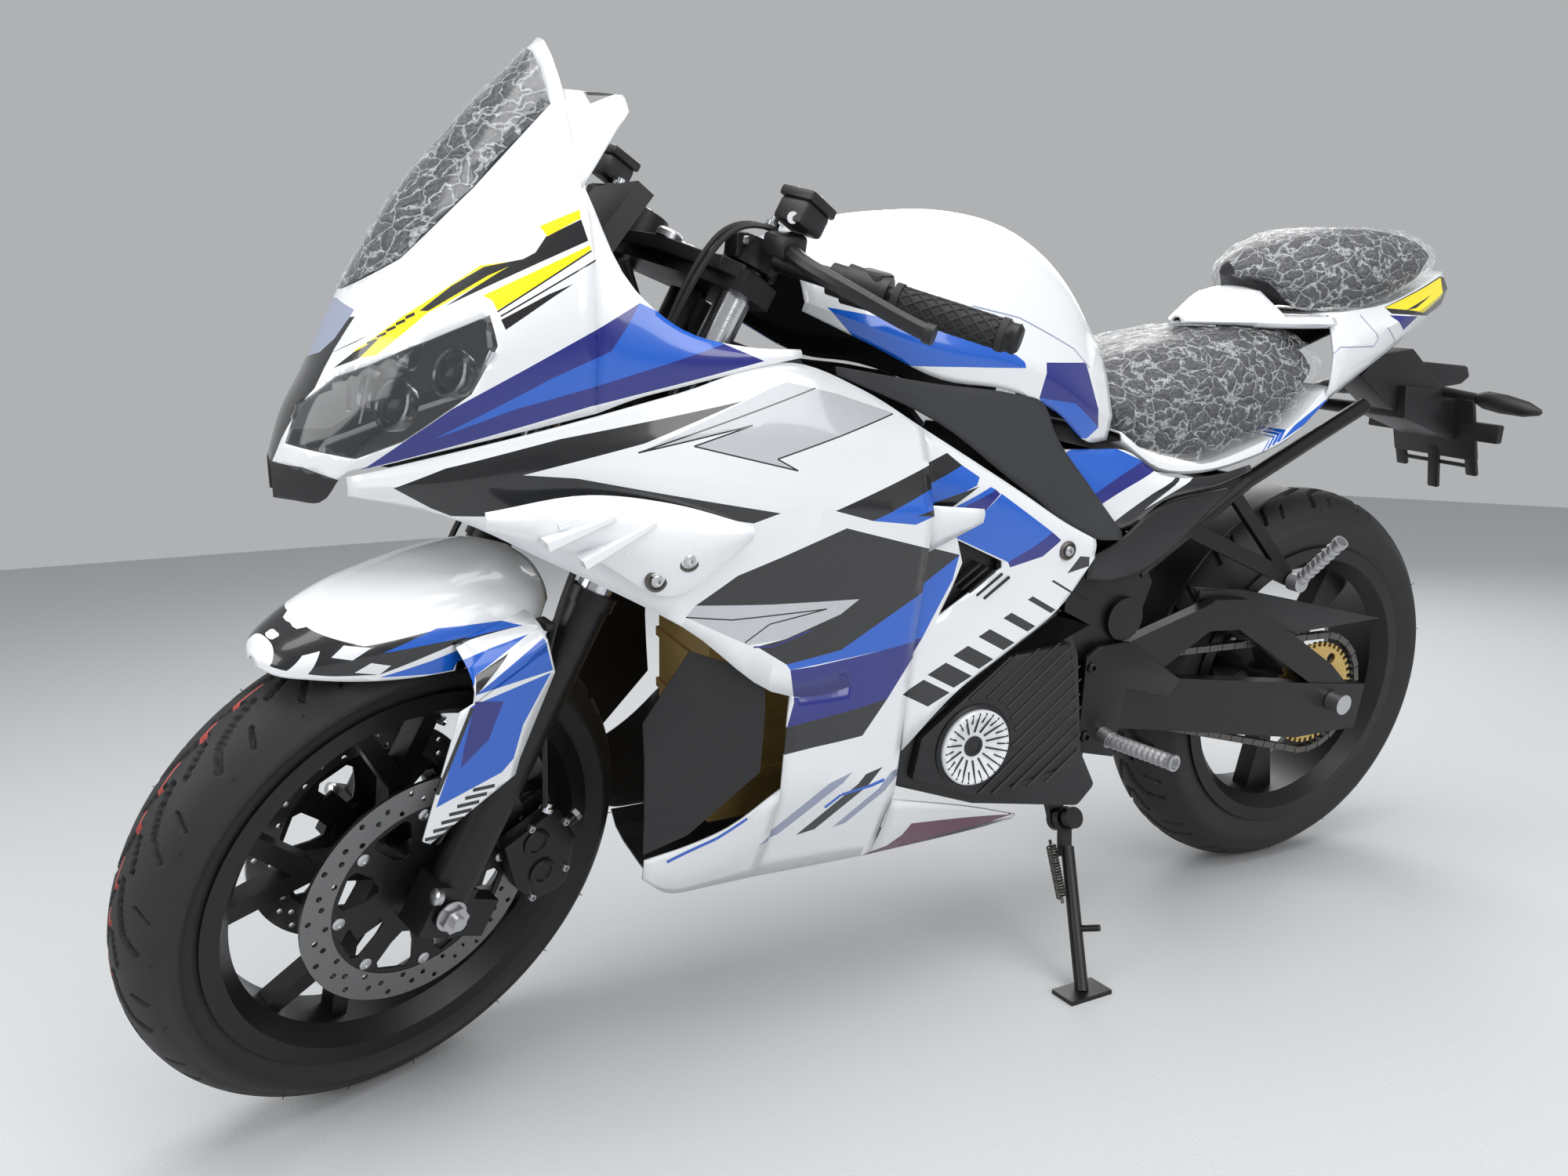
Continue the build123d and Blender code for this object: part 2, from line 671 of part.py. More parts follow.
# Side fairings in one piece each: upper slope, ridge, blade and lower sweep
FAIRING_FRONT = [
    (-26, [(103, 746), (105, 742), (106, 736), (101, 727)]),
    (55, [(139, 768), (145, 757), (147, 742), (131, 709)]),
    (150, [(164, 792), (170, 775), (172, 754), (168, 662)]),
    (280, [(184, 826), (194, 785), (201, 740), (198, 588)]),
    (405, [(188, 855), (203, 790), (213, 712), (204, 495)]),
]
FAIRING_MID = [
    (405, [(188, 855), (203, 790), (213, 712), (204, 495), (189, 376), (120, 230)]),
    (490, [(189, 825), (205, 770), (218, 699), (200, 495), (186, 368), (122, 228)]),
    (569, [(190, 781), (205, 742), (221, 690), (196, 527), (172, 334), (122, 226)]),
]
FAIRING_REAR = [
    (569, [(190, 781), (198, 740), (200, 700), (194, 600), (190, 500), (183, 394)]),
    (640, [(190, 741), (197, 715), (198, 680), (194, 600), (190, 530), (189, 462)]),
    (715, [(190, 698), (195, 680), (196, 660), (193, 610), (191, 560), (190, 507)]),
    (783, [(188, 658), (191, 645), (192, 630), (191, 610), (190, 580), (189, 549)]),
    (836, [(185, 632), (186, 629), (187, 625), (187, 620), (186, 614), (186, 608)]),
]
FAIRING_TAIL = [
    (569, [(170, 322), (150, 275), (122, 226)]),
    (700, [(150, 278), (140, 258), (124, 228)]),
    (786, [(138, 244), (134, 239), (128, 233)]),
]
FAIRING_TOE = [
    (250, [(162, 306), (160, 292), (157, 280)]),
    (300, [(168, 316), (150, 270), (124, 234)]),
    (345, [(178, 334), (156, 280), (121, 231)]),
    (405, [(189, 376), (160, 300), (120, 230)]),
]
BLADE_TIP = [
    (569, [(206, 742), (221, 690), (203, 580)]),
    (636, [(221, 692), (223, 688), (221, 676)]),
]
with BuildPart() as side_fairings:
    for side in BOTH:
        skin(FAIRING_FRONT, PANEL, side)
        skin(FAIRING_MID, PANEL, side)
        skin(FAIRING_REAR, PANEL, side)
        skin(FAIRING_TAIL, PANEL, side)
        skin(FAIRING_TOE, PANEL, side)
        skin(BLADE_TIP, PANEL, side)

with BuildPart() as belly_pan:
    arch(
        [
            (300, [(108, 238), (90, 222), (60, 216), (0, 214)]),
            (480, [(112, 234), (90, 214), (60, 208), (0, 206)]),
            (640, [(112, 232), (90, 214), (60, 208), (0, 206)]),
        ],
        PANEL,
    )

WINGLET = [
    (84, [(194, 722), (199, 716), (196, 706)]),
    (182, [(204, 734), (212, 700), (204, 672)]),
    (262, [(212, 722), (222, 680), (212, 626)]),
    (350, [(218, 694), (222, 688), (218, 678)]),
]
with BuildPart() as winglets:
    for side in BOTH:
        skin(WINGLET, 8, side)
        for y in (150, 215):
            beam((side * 206, y, 702), (side * 236, y + 46, 668), 6, 30)

DUCT_ROWS = [
    (250, [(160, 470), (165, 430), (163, 360), (158, 312)]),
    (300, [(172, 550), (177, 480), (174, 400), (166, 330)]),
    (380, [(190, 520), (194, 480), (190, 440), (184, 400)]),
]
with BuildPart() as inner_ducts:
    for side in BOTH:
        skin(DUCT_ROWS, PANEL, side)

with BuildPart() as cockpit_trim:
    for side in BOTH:
        edge = [
            (215, [(150, 958), (160, 954), (161, 946)]),
            (240, [(146, 922), (162, 918), (167, 910)]),
            (290, [(140, 882), (160, 880), (170, 872)]),
            (355, [(136, 864), (160, 864), (172, 857)]),
            (425, [(140, 858), (162, 858), (174, 852)]),
        ]
        skin(edge, PANEL, side)
    with Locations(Location((0, 262, 990), (-38, 0, 0))):
        Box(150, 22, 86)

# Tank cover, textured frame covers, seats and tail
TANK_ROWS = [
    (432, [(142, 864), (150, 885), (138, 920), (100, 950), (55, 965), (0, 970)]),
    (500, [(158, 852), (168, 886), (152, 935), (112, 985), (65, 1003), (0, 1010)]),
    (600, [(162, 824), (178, 865), (168, 935), (128, 990), (70, 1013), (0, 1019)]),
    (700, [(150, 808), (165, 850), (155, 915), (115, 975), (60, 1000), (0, 1006)]),
    (800, [(124, 766), (138, 800), (130, 855), (100, 905), (50, 925), (0, 930)]),
    (880, [(96, 752), (118, 775), (112, 805), (88, 836), (45, 845), (0, 847)]),
]
with BuildPart() as tank_cover:
    hull(TANK_ROWS)
    with Locations((0, 610, 800)):
        Box(400, 300, 40, mode=Mode.SUBTRACT)

COVER_ROWS = [
    (460, [(182, 847), (184, 843), (185, 838)]),
    (592, [(180, 800), (183, 790), (184, 780)]),
    (700, [(168, 806), (178, 760), (185, 712)]),
    (761, [(163, 747), (176, 705), (183, 676)]),
    (850, [(154, 668), (168, 650), (178, 632)]),
    (908, [(150, 624), (151, 621), (152, 617)]),
]
with BuildPart() as frame_covers:
    for side in BOTH:
        skin(COVER_ROWS, PANEL, side)

SEAT_PANEL_ROWS = [
    (775, [(150, 744), (154, 738), (156, 732)]),
    (865, [(140, 748), (152, 710), (158, 672)]),
    (915, [(136, 732), (148, 680), (150, 626)]),
    (1000, [(132, 704), (140, 690), (142, 664)]),
    (1136, [(126, 692), (129, 684), (130, 676)]),
]
with BuildPart() as seat_panels:
    for side in BOTH:
        skin(SEAT_PANEL_ROWS, PANEL, side)

SIDE_PANEL_ROWS = [
    (846, [(164, 602), (166, 590), (164, 574)]),
    (907, [(150, 616), (150, 590), (146, 560)]),
    (971, [(138, 650), (140, 610), (136, 566)]),
    (1120, [(124, 668), (124, 664), (122, 660)]),
]
with BuildPart() as side_panels:
    for side in BOTH:
        skin(SIDE_PANEL_ROWS, PANEL, side)

RIDER_SEAT_ROWS = [
    (890, [(54, 795), (66, 810), (56, 838), (0, 846)]),
    (960, [(96, 740), (118, 765), (100, 820), (0, 836)]),
    (1050, [(110, 714), (130, 745), (110, 812), (0, 830)]),
    (1150, [(108, 738), (124, 775), (105, 838), (0, 856)]),
    (1230, [(98, 775), (108, 815), (88, 880), (0, 892)]),
    (1285, [(84, 822), (90, 850), (72, 890), (0, 896)]),
]
with BuildPart() as rider_seat:
    hull(RIDER_SEAT_ROWS)

PILLION_ROWS = [
    (1110, [(70, 926), (88, 945), (74, 968), (0, 976)]),
    (1170, [(90, 926), (114, 950), (96, 990), (0, 1000)]),
    (1300, [(92, 930), (115, 960), (95, 1010), (0, 1018)]),
    (1440, [(80, 950), (100, 982), (80, 1020), (0, 1026)]),
    (1530, [(58, 974), (80, 992), (60, 1014), (0, 1019)]),
    (1560, [(40, 988), (55, 1000), (40, 1012), (0, 1014)]),
]
with BuildPart() as pillion_seat:
    hull(PILLION_ROWS)

TAIL_FRONT = [
    (940, [(92, 660), (110, 676), (100, 700), (0, 700)]),
    (1050, [(104, 672), (122, 690), (108, 710), (0, 710)]),
    (1145, [(108, 692), (124, 712), (106, 732), (0, 732)]),
    (1225, [(108, 710), (126, 740), (96, 768), (0, 768)]),
    (1290, [(106, 728), (127, 765), (82, 814), (0, 814)]),
]
TAIL_REAR = [
    (1290, [(106, 728), (127, 775), (112, 862), (94, 922), (0, 922)]),
    (1400, [(96, 782), (118, 826), (108, 896), (88, 938), (0, 938)]),
    (1500, [(78, 824), (100, 862), (94, 924), (66, 962), (0, 962)]),
    (1580, [(52, 876), (70, 900), (66, 950), (40, 984), (0, 984)]),
]
TAIL_HUMP = [
    (1100, [(100, 900), (106, 906), (94, 914), (72, 916), (0, 916)]),
    (1290, [(94, 898), (117, 900), (112, 912), (94, 922), (0, 922)]),
]
with BuildPart() as tail_fairing:
    hull(TAIL_FRONT)
    hull(TAIL_REAR)
    hull(TAIL_HUMP)

with BuildPart() as tail_lamp:
    hull(
        [
            (1580.5, [(48, 888), (62, 905), (58, 945), (0, 950)]),
            (1597, [(40, 896), (52, 908), (50, 938), (0, 942)]),
        ]
    )

PLATE_PCD = 120.0
PLATE_HOLE_R = 3.5
with BuildPart() as plate_holder:
    beam((0, 1470, 800), (0, 1690, 800), 110, 18)
    beam((0, 1684, 806), (0, 1752, 612), 150, 8)
    beam((0, 1690, 700), (0, 1740, 740), 60, 30)
    for side in BOTH:
        rod((side * 40, 1670, 790), (side * 130, 1672, 772), 9)
        rod((side * 130, 1672, 772), (side * 208, 1670, 760), 15)
    with Locations(Plane(origin=(0, 1720, 703.3), x_dir=(1, 0, 0), z_dir=(0, 194, 68))):
        with PolarLocations(PLATE_PCD / 2, 2):
            Cylinder(PLATE_HOLE_R, 60, mode=Mode.SUBTRACT)

# Footrests, stand and spring
HEEL = [
    (884, 455),
    (905, 468),
    (960, 468),
    (1060, 400),
    (1040, 375),
    (960, 400),
    (950, 300),
    (884, 318),
]
with BuildPart() as footrests:
    for side in BOTH:
        low = min(side * 130, side * 137)
        slab(HEEL, low, low + 7)
        rod((side * 135, 925, 338), (side * 152, 927, 335), 12)
        rod((side * 150, 927, 335), (side * 258, 940, 342), 11)
        for z in (340, 440):
            rod((side * 122, 894, z), (side * 131, 894, z), 9)

with BuildPart() as pillion_footrests:
    for side in BOTH:
        rod((side * 146, 1246, 528), (side * 164, 1246, 528), 13)
        rod((side * 156, 1246, 528), (side * 222, 1240, 604), 10)


def turned(point, degrees):
    """Point carried round with the steering."""
    start = Vector(*point) - Vector(*STEER_POINT)
    axis = Vector(0, RAKE_SIN, RAKE_COS)
    angle = math.radians(degrees)
    level = start * math.cos(angle) + axis.cross(start) * math.sin(angle)
    return level + axis * (axis.dot(start) * (1 - math.cos(angle))) + Vector(*STEER_POINT)


def settled(vector, pitch):
    """Direction or place after the lean and the small pitch, before the final shift."""
    lean = math.radians(LEAN)
    x = vector.X * math.cos(lean) + vector.Z * math.sin(lean)
    z = vector.Z * math.cos(lean) - vector.X * math.sin(lean)
    return Vector(
        x,
        vector.Y * math.cos(pitch) - z * math.sin(pitch),
        vector.Y * math.sin(pitch) + z * math.cos(pitch),
    )


def tyre_low(centre, spin, radius, crown, pitch):
    """Height of a leaning tyre's lowest point, before the final shift."""
    spin_z = settled(spin, pitch).Z
    return settled(centre, pitch).Z - (radius - crown) * math.sqrt(1 - spin_z ** 2) - crown


FRONT_CENTRE = turned(FRONT_AXLE, STEER_LEFT)
FRONT_SPIN_NOW = turned((1, STEER_POINT[1], STEER_POINT[2]), STEER_LEFT) - Vector(*STEER_POINT)
PITCH = 0.0
for step in range(4):
    front_low = tyre_low(FRONT_CENTRE, FRONT_SPIN_NOW, FRONT_R, FRONT_CROWN_R, PITCH)
    rear_low = tyre_low(Vector(*REAR_AXLE), Vector(1, 0, 0), REAR_R, REAR_CROWN_R, PITCH)
    PITCH += (front_low - rear_low) / WHEELBASE
GROUND = tyre_low(Vector(*REAR_AXLE), Vector(1, 0, 0), REAR_R, REAR_CROWN_R, PITCH)
UP = Vector(
    -math.sin(math.radians(LEAN)) * math.cos(PITCH),
    math.sin(PITCH),
    math.cos(math.radians(LEAN)) * math.cos(PITCH),
)
FOOT_THICK = 6.0
stand_reach = (pivot.dot(UP) - GROUND - FOOT_THICK / 2) / -STAND_DOWN.dot(UP)
foot = pivot + STAND_DOWN * stand_reach

with BuildPart() as side_stand:
    with Locations(Plane(origin=pivot, x_dir=STAND_DOWN, z_dir=STAND_PIN)):
        Cylinder(17, 12)
        with Locations((32, 0, 0)):
            Box(40, 16, 12)
        Cylinder(6 + RUNNING_GAP, 14, mode=Mode.SUBTRACT)
    rod(pivot + STAND_DOWN * 40, foot, 9)
    with Locations(Plane(origin=foot, x_dir=(0, 1, 0), z_dir=UP)):
        Box(66, 40, FOOT_THICK)
    rod(pivot + STAND_DOWN * 150, pivot + STAND_DOWN * 143 + Vector(30, 16, 6), 4.5)

with BuildPart() as stand_spring:
    rod(pivot + Vector(4, -26, -26), pivot + STAND_DOWN * 110 + Vector(4, -20, 0), 8)

# Turn, lean, settle on the floor and write the files
STEERED = {
    "front_tyre": front_tyre,
    "front_rim": front_rim,
    "front_discs": front_discs,
    "fork_lowers": fork_lowers,
    "fork_tubes": fork_tubes,
    "triple_clamps": triple_clamps,
    "handlebars": handlebars,
    "grips": grips,
    "controls": controls,
    "front_fender": front_fender,
    "calipers": calipers,
    "brake_hoses": brake_hoses,
    "front_axle": front_axle,
}
STRAIGHT = {
    "rear_tyre": rear_tyre,
    "rear_rim": rear_rim,
    "rear_sprocket": rear_sprocket,
    "rear_disc": rear_disc,
    "frame": frame,
    "battery_box": battery_box,
    "motor": motor,
    "motor_covers": motor_covers,
    "cover_discs": cover_discs,
    "swingarm": swingarm,
    "rear_axle": rear_axle,
    "shock": shock,
    "chain": chain,
    "chain_guards": chain_guards,
    "upper_cowl": upper_cowl,
    "windscreen": windscreen,
    "headlight": headlight,
    "chin_intake": chin_intake,
    "side_fairings": side_fairings,
    "belly_pan": belly_pan,
    "winglets": winglets,
    "inner_ducts": inner_ducts,
    "cockpit_trim": cockpit_trim,
    "tank_cover": tank_cover,
    "frame_covers": frame_covers,
    "seat_panels": seat_panels,
    "side_panels": side_panels,
    "rider_seat": rider_seat,
    "pillion_seat": pillion_seat,
    "tail_fairing": tail_fairing,
    "tail_lamp": tail_lamp,
    "plate_holder": plate_holder,
    "footrests": footrests,
    "pillion_footrests": pillion_footrests,
    "side_stand": side_stand,
    "stand_spring": stand_spring,
}
SETTLE = Rot(math.degrees(PITCH), 0, 0) * Rot(0, LEAN, 0)
posed = {}
for label, builder in STEERED.items():
    posed[label] = SETTLE * builder.part.rotate(STEER_AXIS, STEER_LEFT)
for label, builder in STRAIGHT.items():
    posed[label] = SETTLE * builder.part
boxes = [shape.bounding_box() for shape in posed.values()]
SHIFT = Vector(
    -(min(b.min.X for b in boxes) + max(b.max.X for b in boxes)) / 2,
    -(min(b.min.Y for b in boxes) + max(b.max.Y for b in boxes)) / 2,
    -GROUND,
)

os.makedirs("parts", exist_ok=True)
for label, shape in posed.items():
    shape = Pos(SHIFT.X, SHIFT.Y, SHIFT.Z) * shape
    shape.label = label
    export_step(shape, f"parts/{label}.step")
print("pitch_deg", math.degrees(PITCH), "shift", SHIFT.X, SHIFT.Y, SHIFT.Z)
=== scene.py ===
import math

import bmesh
import bpy
from mathutils import Matrix, Vector, noise


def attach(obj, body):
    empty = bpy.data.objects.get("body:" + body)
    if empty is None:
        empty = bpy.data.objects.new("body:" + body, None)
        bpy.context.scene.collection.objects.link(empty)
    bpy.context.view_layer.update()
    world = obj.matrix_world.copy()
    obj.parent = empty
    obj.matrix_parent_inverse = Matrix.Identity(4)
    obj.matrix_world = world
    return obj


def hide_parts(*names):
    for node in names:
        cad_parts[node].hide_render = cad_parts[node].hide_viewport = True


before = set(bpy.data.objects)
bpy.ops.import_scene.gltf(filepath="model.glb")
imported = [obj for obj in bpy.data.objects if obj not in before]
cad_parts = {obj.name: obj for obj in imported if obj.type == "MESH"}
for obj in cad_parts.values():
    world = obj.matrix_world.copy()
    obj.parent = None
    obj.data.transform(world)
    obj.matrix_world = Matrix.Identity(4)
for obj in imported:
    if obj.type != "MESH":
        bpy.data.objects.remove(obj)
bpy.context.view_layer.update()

# Sizes are in millimetres on the upright machine, steering straight: X to its left,
# Y to the rear, Z up, and the front axle over the origin. BIKE and STEERED carry a
# shape from there to where it stands, in metres, leaning on its stand.
LEAN = 8.0
PITCH = 0.2225794
STEER = 22.0
RAKE = 27.78
SHIFT = Vector((-0.1050531, -0.7375907, -0.0047355))
FRONT_R = 293.0
REAR_R = 314.0
WHEELBASE = 1400.0
AXLE_LEAD = 38.4
FORK_X = 97.0
FORK_Y = 4.4
RAKE_SIN = math.sin(math.radians(RAKE))
RAKE_COS = math.cos(math.radians(RAKE))
STEER_AXIS = Vector((0, RAKE_SIN, RAKE_COS))
STEER_POINT = Vector((0, AXLE_LEAD * RAKE_COS, FRONT_R - AXLE_LEAD * RAKE_SIN))
SETTLE = (
    Matrix.Translation(SHIFT)
    @ Matrix.Rotation(math.radians(PITCH), 4, "X")
    @ Matrix.Rotation(math.radians(LEAN), 4, "Y")
)
BIKE = SETTLE @ Matrix.Scale(0.001, 4)
STEERED = (
    BIKE
    @ Matrix.Translation(STEER_POINT)
    @ Matrix.Rotation(math.radians(STEER), 4, STEER_AXIS)
    @ Matrix.Translation(-STEER_POINT)
)
FRONT_AXLE = Vector((0, 0, FRONT_R))
REAR_AXLE = Vector((0, WHEELBASE, REAR_R))
SIDEWAYS = Vector((1, 0, 0))


def fork_point(x, y, s):
    """Point s along the fork from the axle, y behind its line."""
    along = Vector((0, RAKE_SIN, RAKE_COS))
    back = Vector((0, RAKE_COS, -RAKE_SIN))
    return FRONT_AXLE + Vector((x, 0, 0)) + back * y + along * s


# Finishes
class Value:
    """A socket of a finish, with arithmetic that adds the nodes it needs."""

    def __init__(self, finish, socket):
        self.finish = finish
        self.socket = socket

    def maths(self, operation, other, turned=False):
        pair = (other, self) if turned else (self, other)
        return self.finish.node("ShaderNodeMath", {"operation": operation}, {0: pair[0], 1: pair[1]})

    def __add__(self, other):
        return self.maths("ADD", other)

    def __radd__(self, other):
        return self.maths("ADD", other, True)

    def __sub__(self, other):
        return self.maths("SUBTRACT", other)

    def __rsub__(self, other):
        return self.maths("SUBTRACT", other, True)

    def __mul__(self, other):
        return self.maths("MULTIPLY", other)

    def __rmul__(self, other):
        return self.maths("MULTIPLY", other, True)


class Finish:
    """One procedural material on object coordinates."""

    def __init__(self, name, colour, roughness, metallic=0.0, coat=0.0, alpha=1.0):
        self.material = bpy.data.materials.new(name)
        self.material.use_nodes = True
        self.tree = self.material.node_tree
        self.shader = self.tree.nodes["Principled BSDF"]
        self.colour = colour
        self.shader.inputs["Base Color"].default_value = (*colour, 1)
        self.shader.inputs["Roughness"].default_value = roughness
        self.shader.inputs["Metallic"].default_value = metallic
        self.shader.inputs["Coat Weight"].default_value = coat
        self.shader.inputs["Coat Roughness"].default_value = 0.06
        self.shader.inputs["Alpha"].default_value = alpha
        self.place = self.node("ShaderNodeTexCoord", {}, {}, "Object")

    def node(self, kind, settings, values, output=0):
        made = self.tree.nodes.new(kind)
        for key, value in settings.items():
            setattr(made, key, value)
        for key, value in values.items():
            if isinstance(value, Value):
                self.tree.links.new(value.socket, made.inputs[key])
            else:
                made.inputs[key].default_value = value
        return Value(self, made.outputs[output])

    def feed(self, socket, value):
        self.tree.links.new(value.socket, self.shader.inputs[socket])

    def cloud(self, scale, detail=3.0, place=None):
        values = {"Vector": place or self.place, "Scale": scale, "Detail": detail}
        return self.node("ShaderNodeTexNoise", {}, values)

    def cells(self, scale, feature="F1"):
        settings = {"feature": feature}
        return self.node("ShaderNodeTexVoronoi", settings, {"Vector": self.place, "Scale": scale})

    def bands(self, scale, direction, distortion=0.0):
        settings = {"wave_type": "BANDS", "bands_direction": direction}
        values = {"Vector": self.place, "Scale": scale, "Distortion": distortion}
        return self.node("ShaderNodeTexWave", settings, values, 1)

    def tint(self, amount, other):
        mix = self.tree.nodes.new("ShaderNodeMix")
        mix.data_type = "RGBA"
        self.tree.links.new(amount.socket, mix.inputs["Factor"])
        mix.inputs["A"].default_value = (*self.colour, 1)
        mix.inputs["B"].default_value = (*other, 1)
        self.feed("Base Color", Value(self, mix.outputs["Result"]))

    def relief(self, height, distance, strength=1.0):
        values = {"Height": height, "Distance": distance, "Strength": strength}
        self.feed("Normal", self.node("ShaderNodeBump", {}, values))


def shaded(colour, factor):
    return tuple(min(1.0, c * factor) for c in colour)


def lacquer(name, colour):
    """Gloss paint or film: faint waves that darken the colour a little here and there, and a clear coat."""
    finish = Finish(name, colour, 0.28, coat=0.8)
    waves = finish.cloud(9)
    finish.tint(waves * 0.35, shaded(colour, 0.86))
    finish.feed("Roughness", waves * 0.12 + 0.2)
    finish.relief(finish.cloud(420), 0.00006)
    return finish.material


def satin(name, colour, roughness=0.42, metallic=0.0, grain=1400, depth=0.00012):
    """Moulded or powder-coated surface with a fine grain."""
    finish = Finish(name, colour, roughness, metallic)
    patches = finish.cloud(14)
    finish.tint(patches * 0.6, shaded(colour, 1.7))
    finish.feed("Roughness", patches * 0.22 + (roughness - 0.1))
    finish.relief(finish.cloud(grain, 1.0), depth)
    return finish.material


def woven(name, colour, scale=420):
    """Moulded twill texture, two crossed sets of fine ribs."""
    finish = Finish(name, colour, 0.5)
    one = finish.bands(scale, "DIAGONAL")
    two = finish.bands(scale * 0.8, "Z")
    finish.tint(one * two, shaded(colour, 2.6))
    finish.feed("Roughness", one * 0.2 + 0.38)
    finish.relief(one * two, 0.0004)
    return finish.material


def brushed(name, colour, roughness=0.3, scale=(30, 30, 900)):
    """Bare metal with fine drawn lines."""
    finish = Finish(name, colour, roughness, 1.0)
    stretch = finish.node("ShaderNodeMapping", {}, {"Vector": finish.place, "Scale": scale})
    lines = finish.cloud(1.0, 2.0, stretch)
    finish.tint(lines * 0.5, shaded(colour, 0.6))
    finish.feed("Roughness", lines * 0.25 + (roughness - 0.1))
    finish.relief(lines, 0.00008)
    return finish.material


def turned_metal(name, colour, centre, axis):
    """Ground disc with fine rings around its axle."""
    finish = Finish(name, colour, 0.3, 1.0)
    shift = {0: finish.place, 1: centre}
    from_axle = finish.node("ShaderNodeVectorMath", {"operation": "SUBTRACT"}, shift)
    crossed = finish.node("ShaderNodeVectorMath", {"operation": "CROSS_PRODUCT"}, {0: from_axle, 1: axis})
    reach = finish.node("ShaderNodeVectorMath", {"operation": "LENGTH"}, {0: crossed}, "Value")
    rings = finish.node("ShaderNodeTexNoise", {"noise_dimensions": "1D"}, {"W": reach, "Scale": 1600.0})
    finish.tint(rings * 0.55, shaded(colour, 0.55))
    finish.feed("Roughness", rings * 0.3 + 0.16)
    finish.relief(rings, 0.00006)
    return finish.material


def rubber(name, colour, roughness=0.62):
    finish = Finish(name, colour, roughness)
    bloom = finish.cloud(26)
    finish.tint(bloom * 0.7, shaded(colour, 2.0))
    finish.feed("Roughness", bloom * 0.25 + (roughness - 0.12))
    finish.relief(finish.cloud(900), 0.0003)
    return finish.material


def hide(name, colour):
    """Grained seat cover."""
    finish = Finish(name, colour, 0.48)
    grain = finish.cells(520, "DISTANCE_TO_EDGE")
    worn = finish.cloud(18)
    finish.tint(worn * 0.6, shaded(colour, 2.2))
    finish.feed("Roughness", worn * 0.2 + 0.36)
    finish.relief(grain + worn * 0.2, 0.0012)
    return finish.material


def wrap_film(name):
    """Thin clear packing film, crinkled: whiter and more opaque along its creases, a painted highlight, and
    clear between them.
    """
    finish = Finish(name, (0.9, 0.92, 0.94), 0.12, coat=0.4)
    bent = finish.node("ShaderNodeMapping", {}, {"Vector": finish.place, "Scale": (1.0, 0.55, 1.0)})
    settings = {"feature": "DISTANCE_TO_EDGE"}
    warp = finish.cloud(24, 4.0)
    swirl = Value(finish, warp.socket.node.outputs[1])
    shift = {0: swirl, 1: (0.05, 0.05, 0.05), 2: bent}
    moved = finish.node("ShaderNodeVectorMath", {"operation": "MULTIPLY_ADD"}, shift)
    big = finish.node("ShaderNodeTexVoronoi", settings, {"Vector": moved, "Scale": 52.0})
    fine = finish.node("ShaderNodeTexVoronoi", settings, {"Vector": moved, "Scale": 140.0})
    crease_and_highlight = (1 - big * 14).maths("MAXIMUM", 0.0) + (0.5 - fine * 12).maths("MAXIMUM", 0.0)
    # painted highlight: white opacity along the creases stands in for light on the folds; the same crease
    # mask also roughens them
    finish.feed("Alpha", crease_and_highlight * 0.36 + 0.07)
    finish.feed("Roughness", crease_and_highlight * 0.2 + 0.08)
    finish.relief(big * 3 + fine + finish.cloud(40), 0.004)
    return finish.material


def clear(name, colour, alpha, roughness=0.05):
    finish = Finish(name, colour, roughness, coat=1.0, alpha=alpha)
    haze = finish.cloud(12)
    finish.feed("Roughness", haze * 0.08 + roughness)
    finish.relief(finish.cloud(60), 0.00008)
    return finish.material


def point_in_space(matrix, point):
    return tuple(matrix @ Vector(point))


def way_in_space(matrix, way):
    return tuple((matrix.to_3x3() @ Vector(way)).normalized())


WHITE = lacquer("white_lacquer", (0.80, 0.82, 0.84))
BLUE = lacquer("bright_blue_lacquer", (0.004, 0.105, 0.56))
NAVY = lacquer("dark_blue_lacquer", (0.004, 0.010, 0.20))
BLACK = lacquer("black_lacquer", (0.003, 0.003, 0.004))
YELLOW = lacquer("yellow_lacquer", (0.95, 0.78, 0.0))
SILVER = lacquer("silver_lacquer", (0.50, 0.52, 0.55))
MAROON = lacquer("maroon_lacquer", (0.10, 0.006, 0.045))
GREY_BLUE = lacquer("grey_blue_lacquer", (0.30, 0.34, 0.46))
PLASTIC = satin("black_plastic", (0.008, 0.008, 0.009))
DARK_METAL = satin("black_powder_coat", (0.006, 0.006, 0.0065), 0.36, 0.2)
CAST = satin("cast_silver", (0.42, 0.42, 0.43), 0.38, 0.9, 900, 0.0002)
TWILL = woven("twill_black_plastic", (0.022, 0.023, 0.026))
STEEL = brushed("bright_steel", (0.62, 0.62, 0.64))
CHROME = brushed("polished_tube", (0.74, 0.75, 0.78), 0.16)
DARK_STEEL = brushed("oiled_steel", (0.16, 0.15, 0.14), 0.4)
GOLD = brushed("yellow_zinc", (0.78, 0.55, 0.20), 0.32)
GOLD_CASE = satin("gold_case_coat", (0.42, 0.28, 0.09), 0.4, 0.6)
TYRE = rubber("tyre_rubber", (0.009, 0.009, 0.0095))
GRIP = rubber("grip_rubber", (0.014, 0.014, 0.015), 0.7)
HOSE = rubber("hose_rubber", (0.012, 0.012, 0.012), 0.45)
TREAD_LINE = rubber("red_tread_line", (0.35, 0.06, 0.05), 0.7)
HIDE = hide("black_seat_cover", (0.016, 0.016, 0.018))
FILM = wrap_film("clear_wrap_film")
SCREEN = clear("tinted_screen", (0.02, 0.022, 0.026), 0.72)
LENS = clear("smoked_lens", (0.05, 0.055, 0.06), 0.42)
GLASS = clear("display_glass", (0.01, 0.012, 0.016), 1.0)
RED_LENS = lacquer("dark_red_lens", (0.22, 0.004, 0.006))
AMBER = lacquer("amber_lens", (0.75, 0.25, 0.02))
RED = satin("red_switch_plastic", (0.60, 0.03, 0.02))

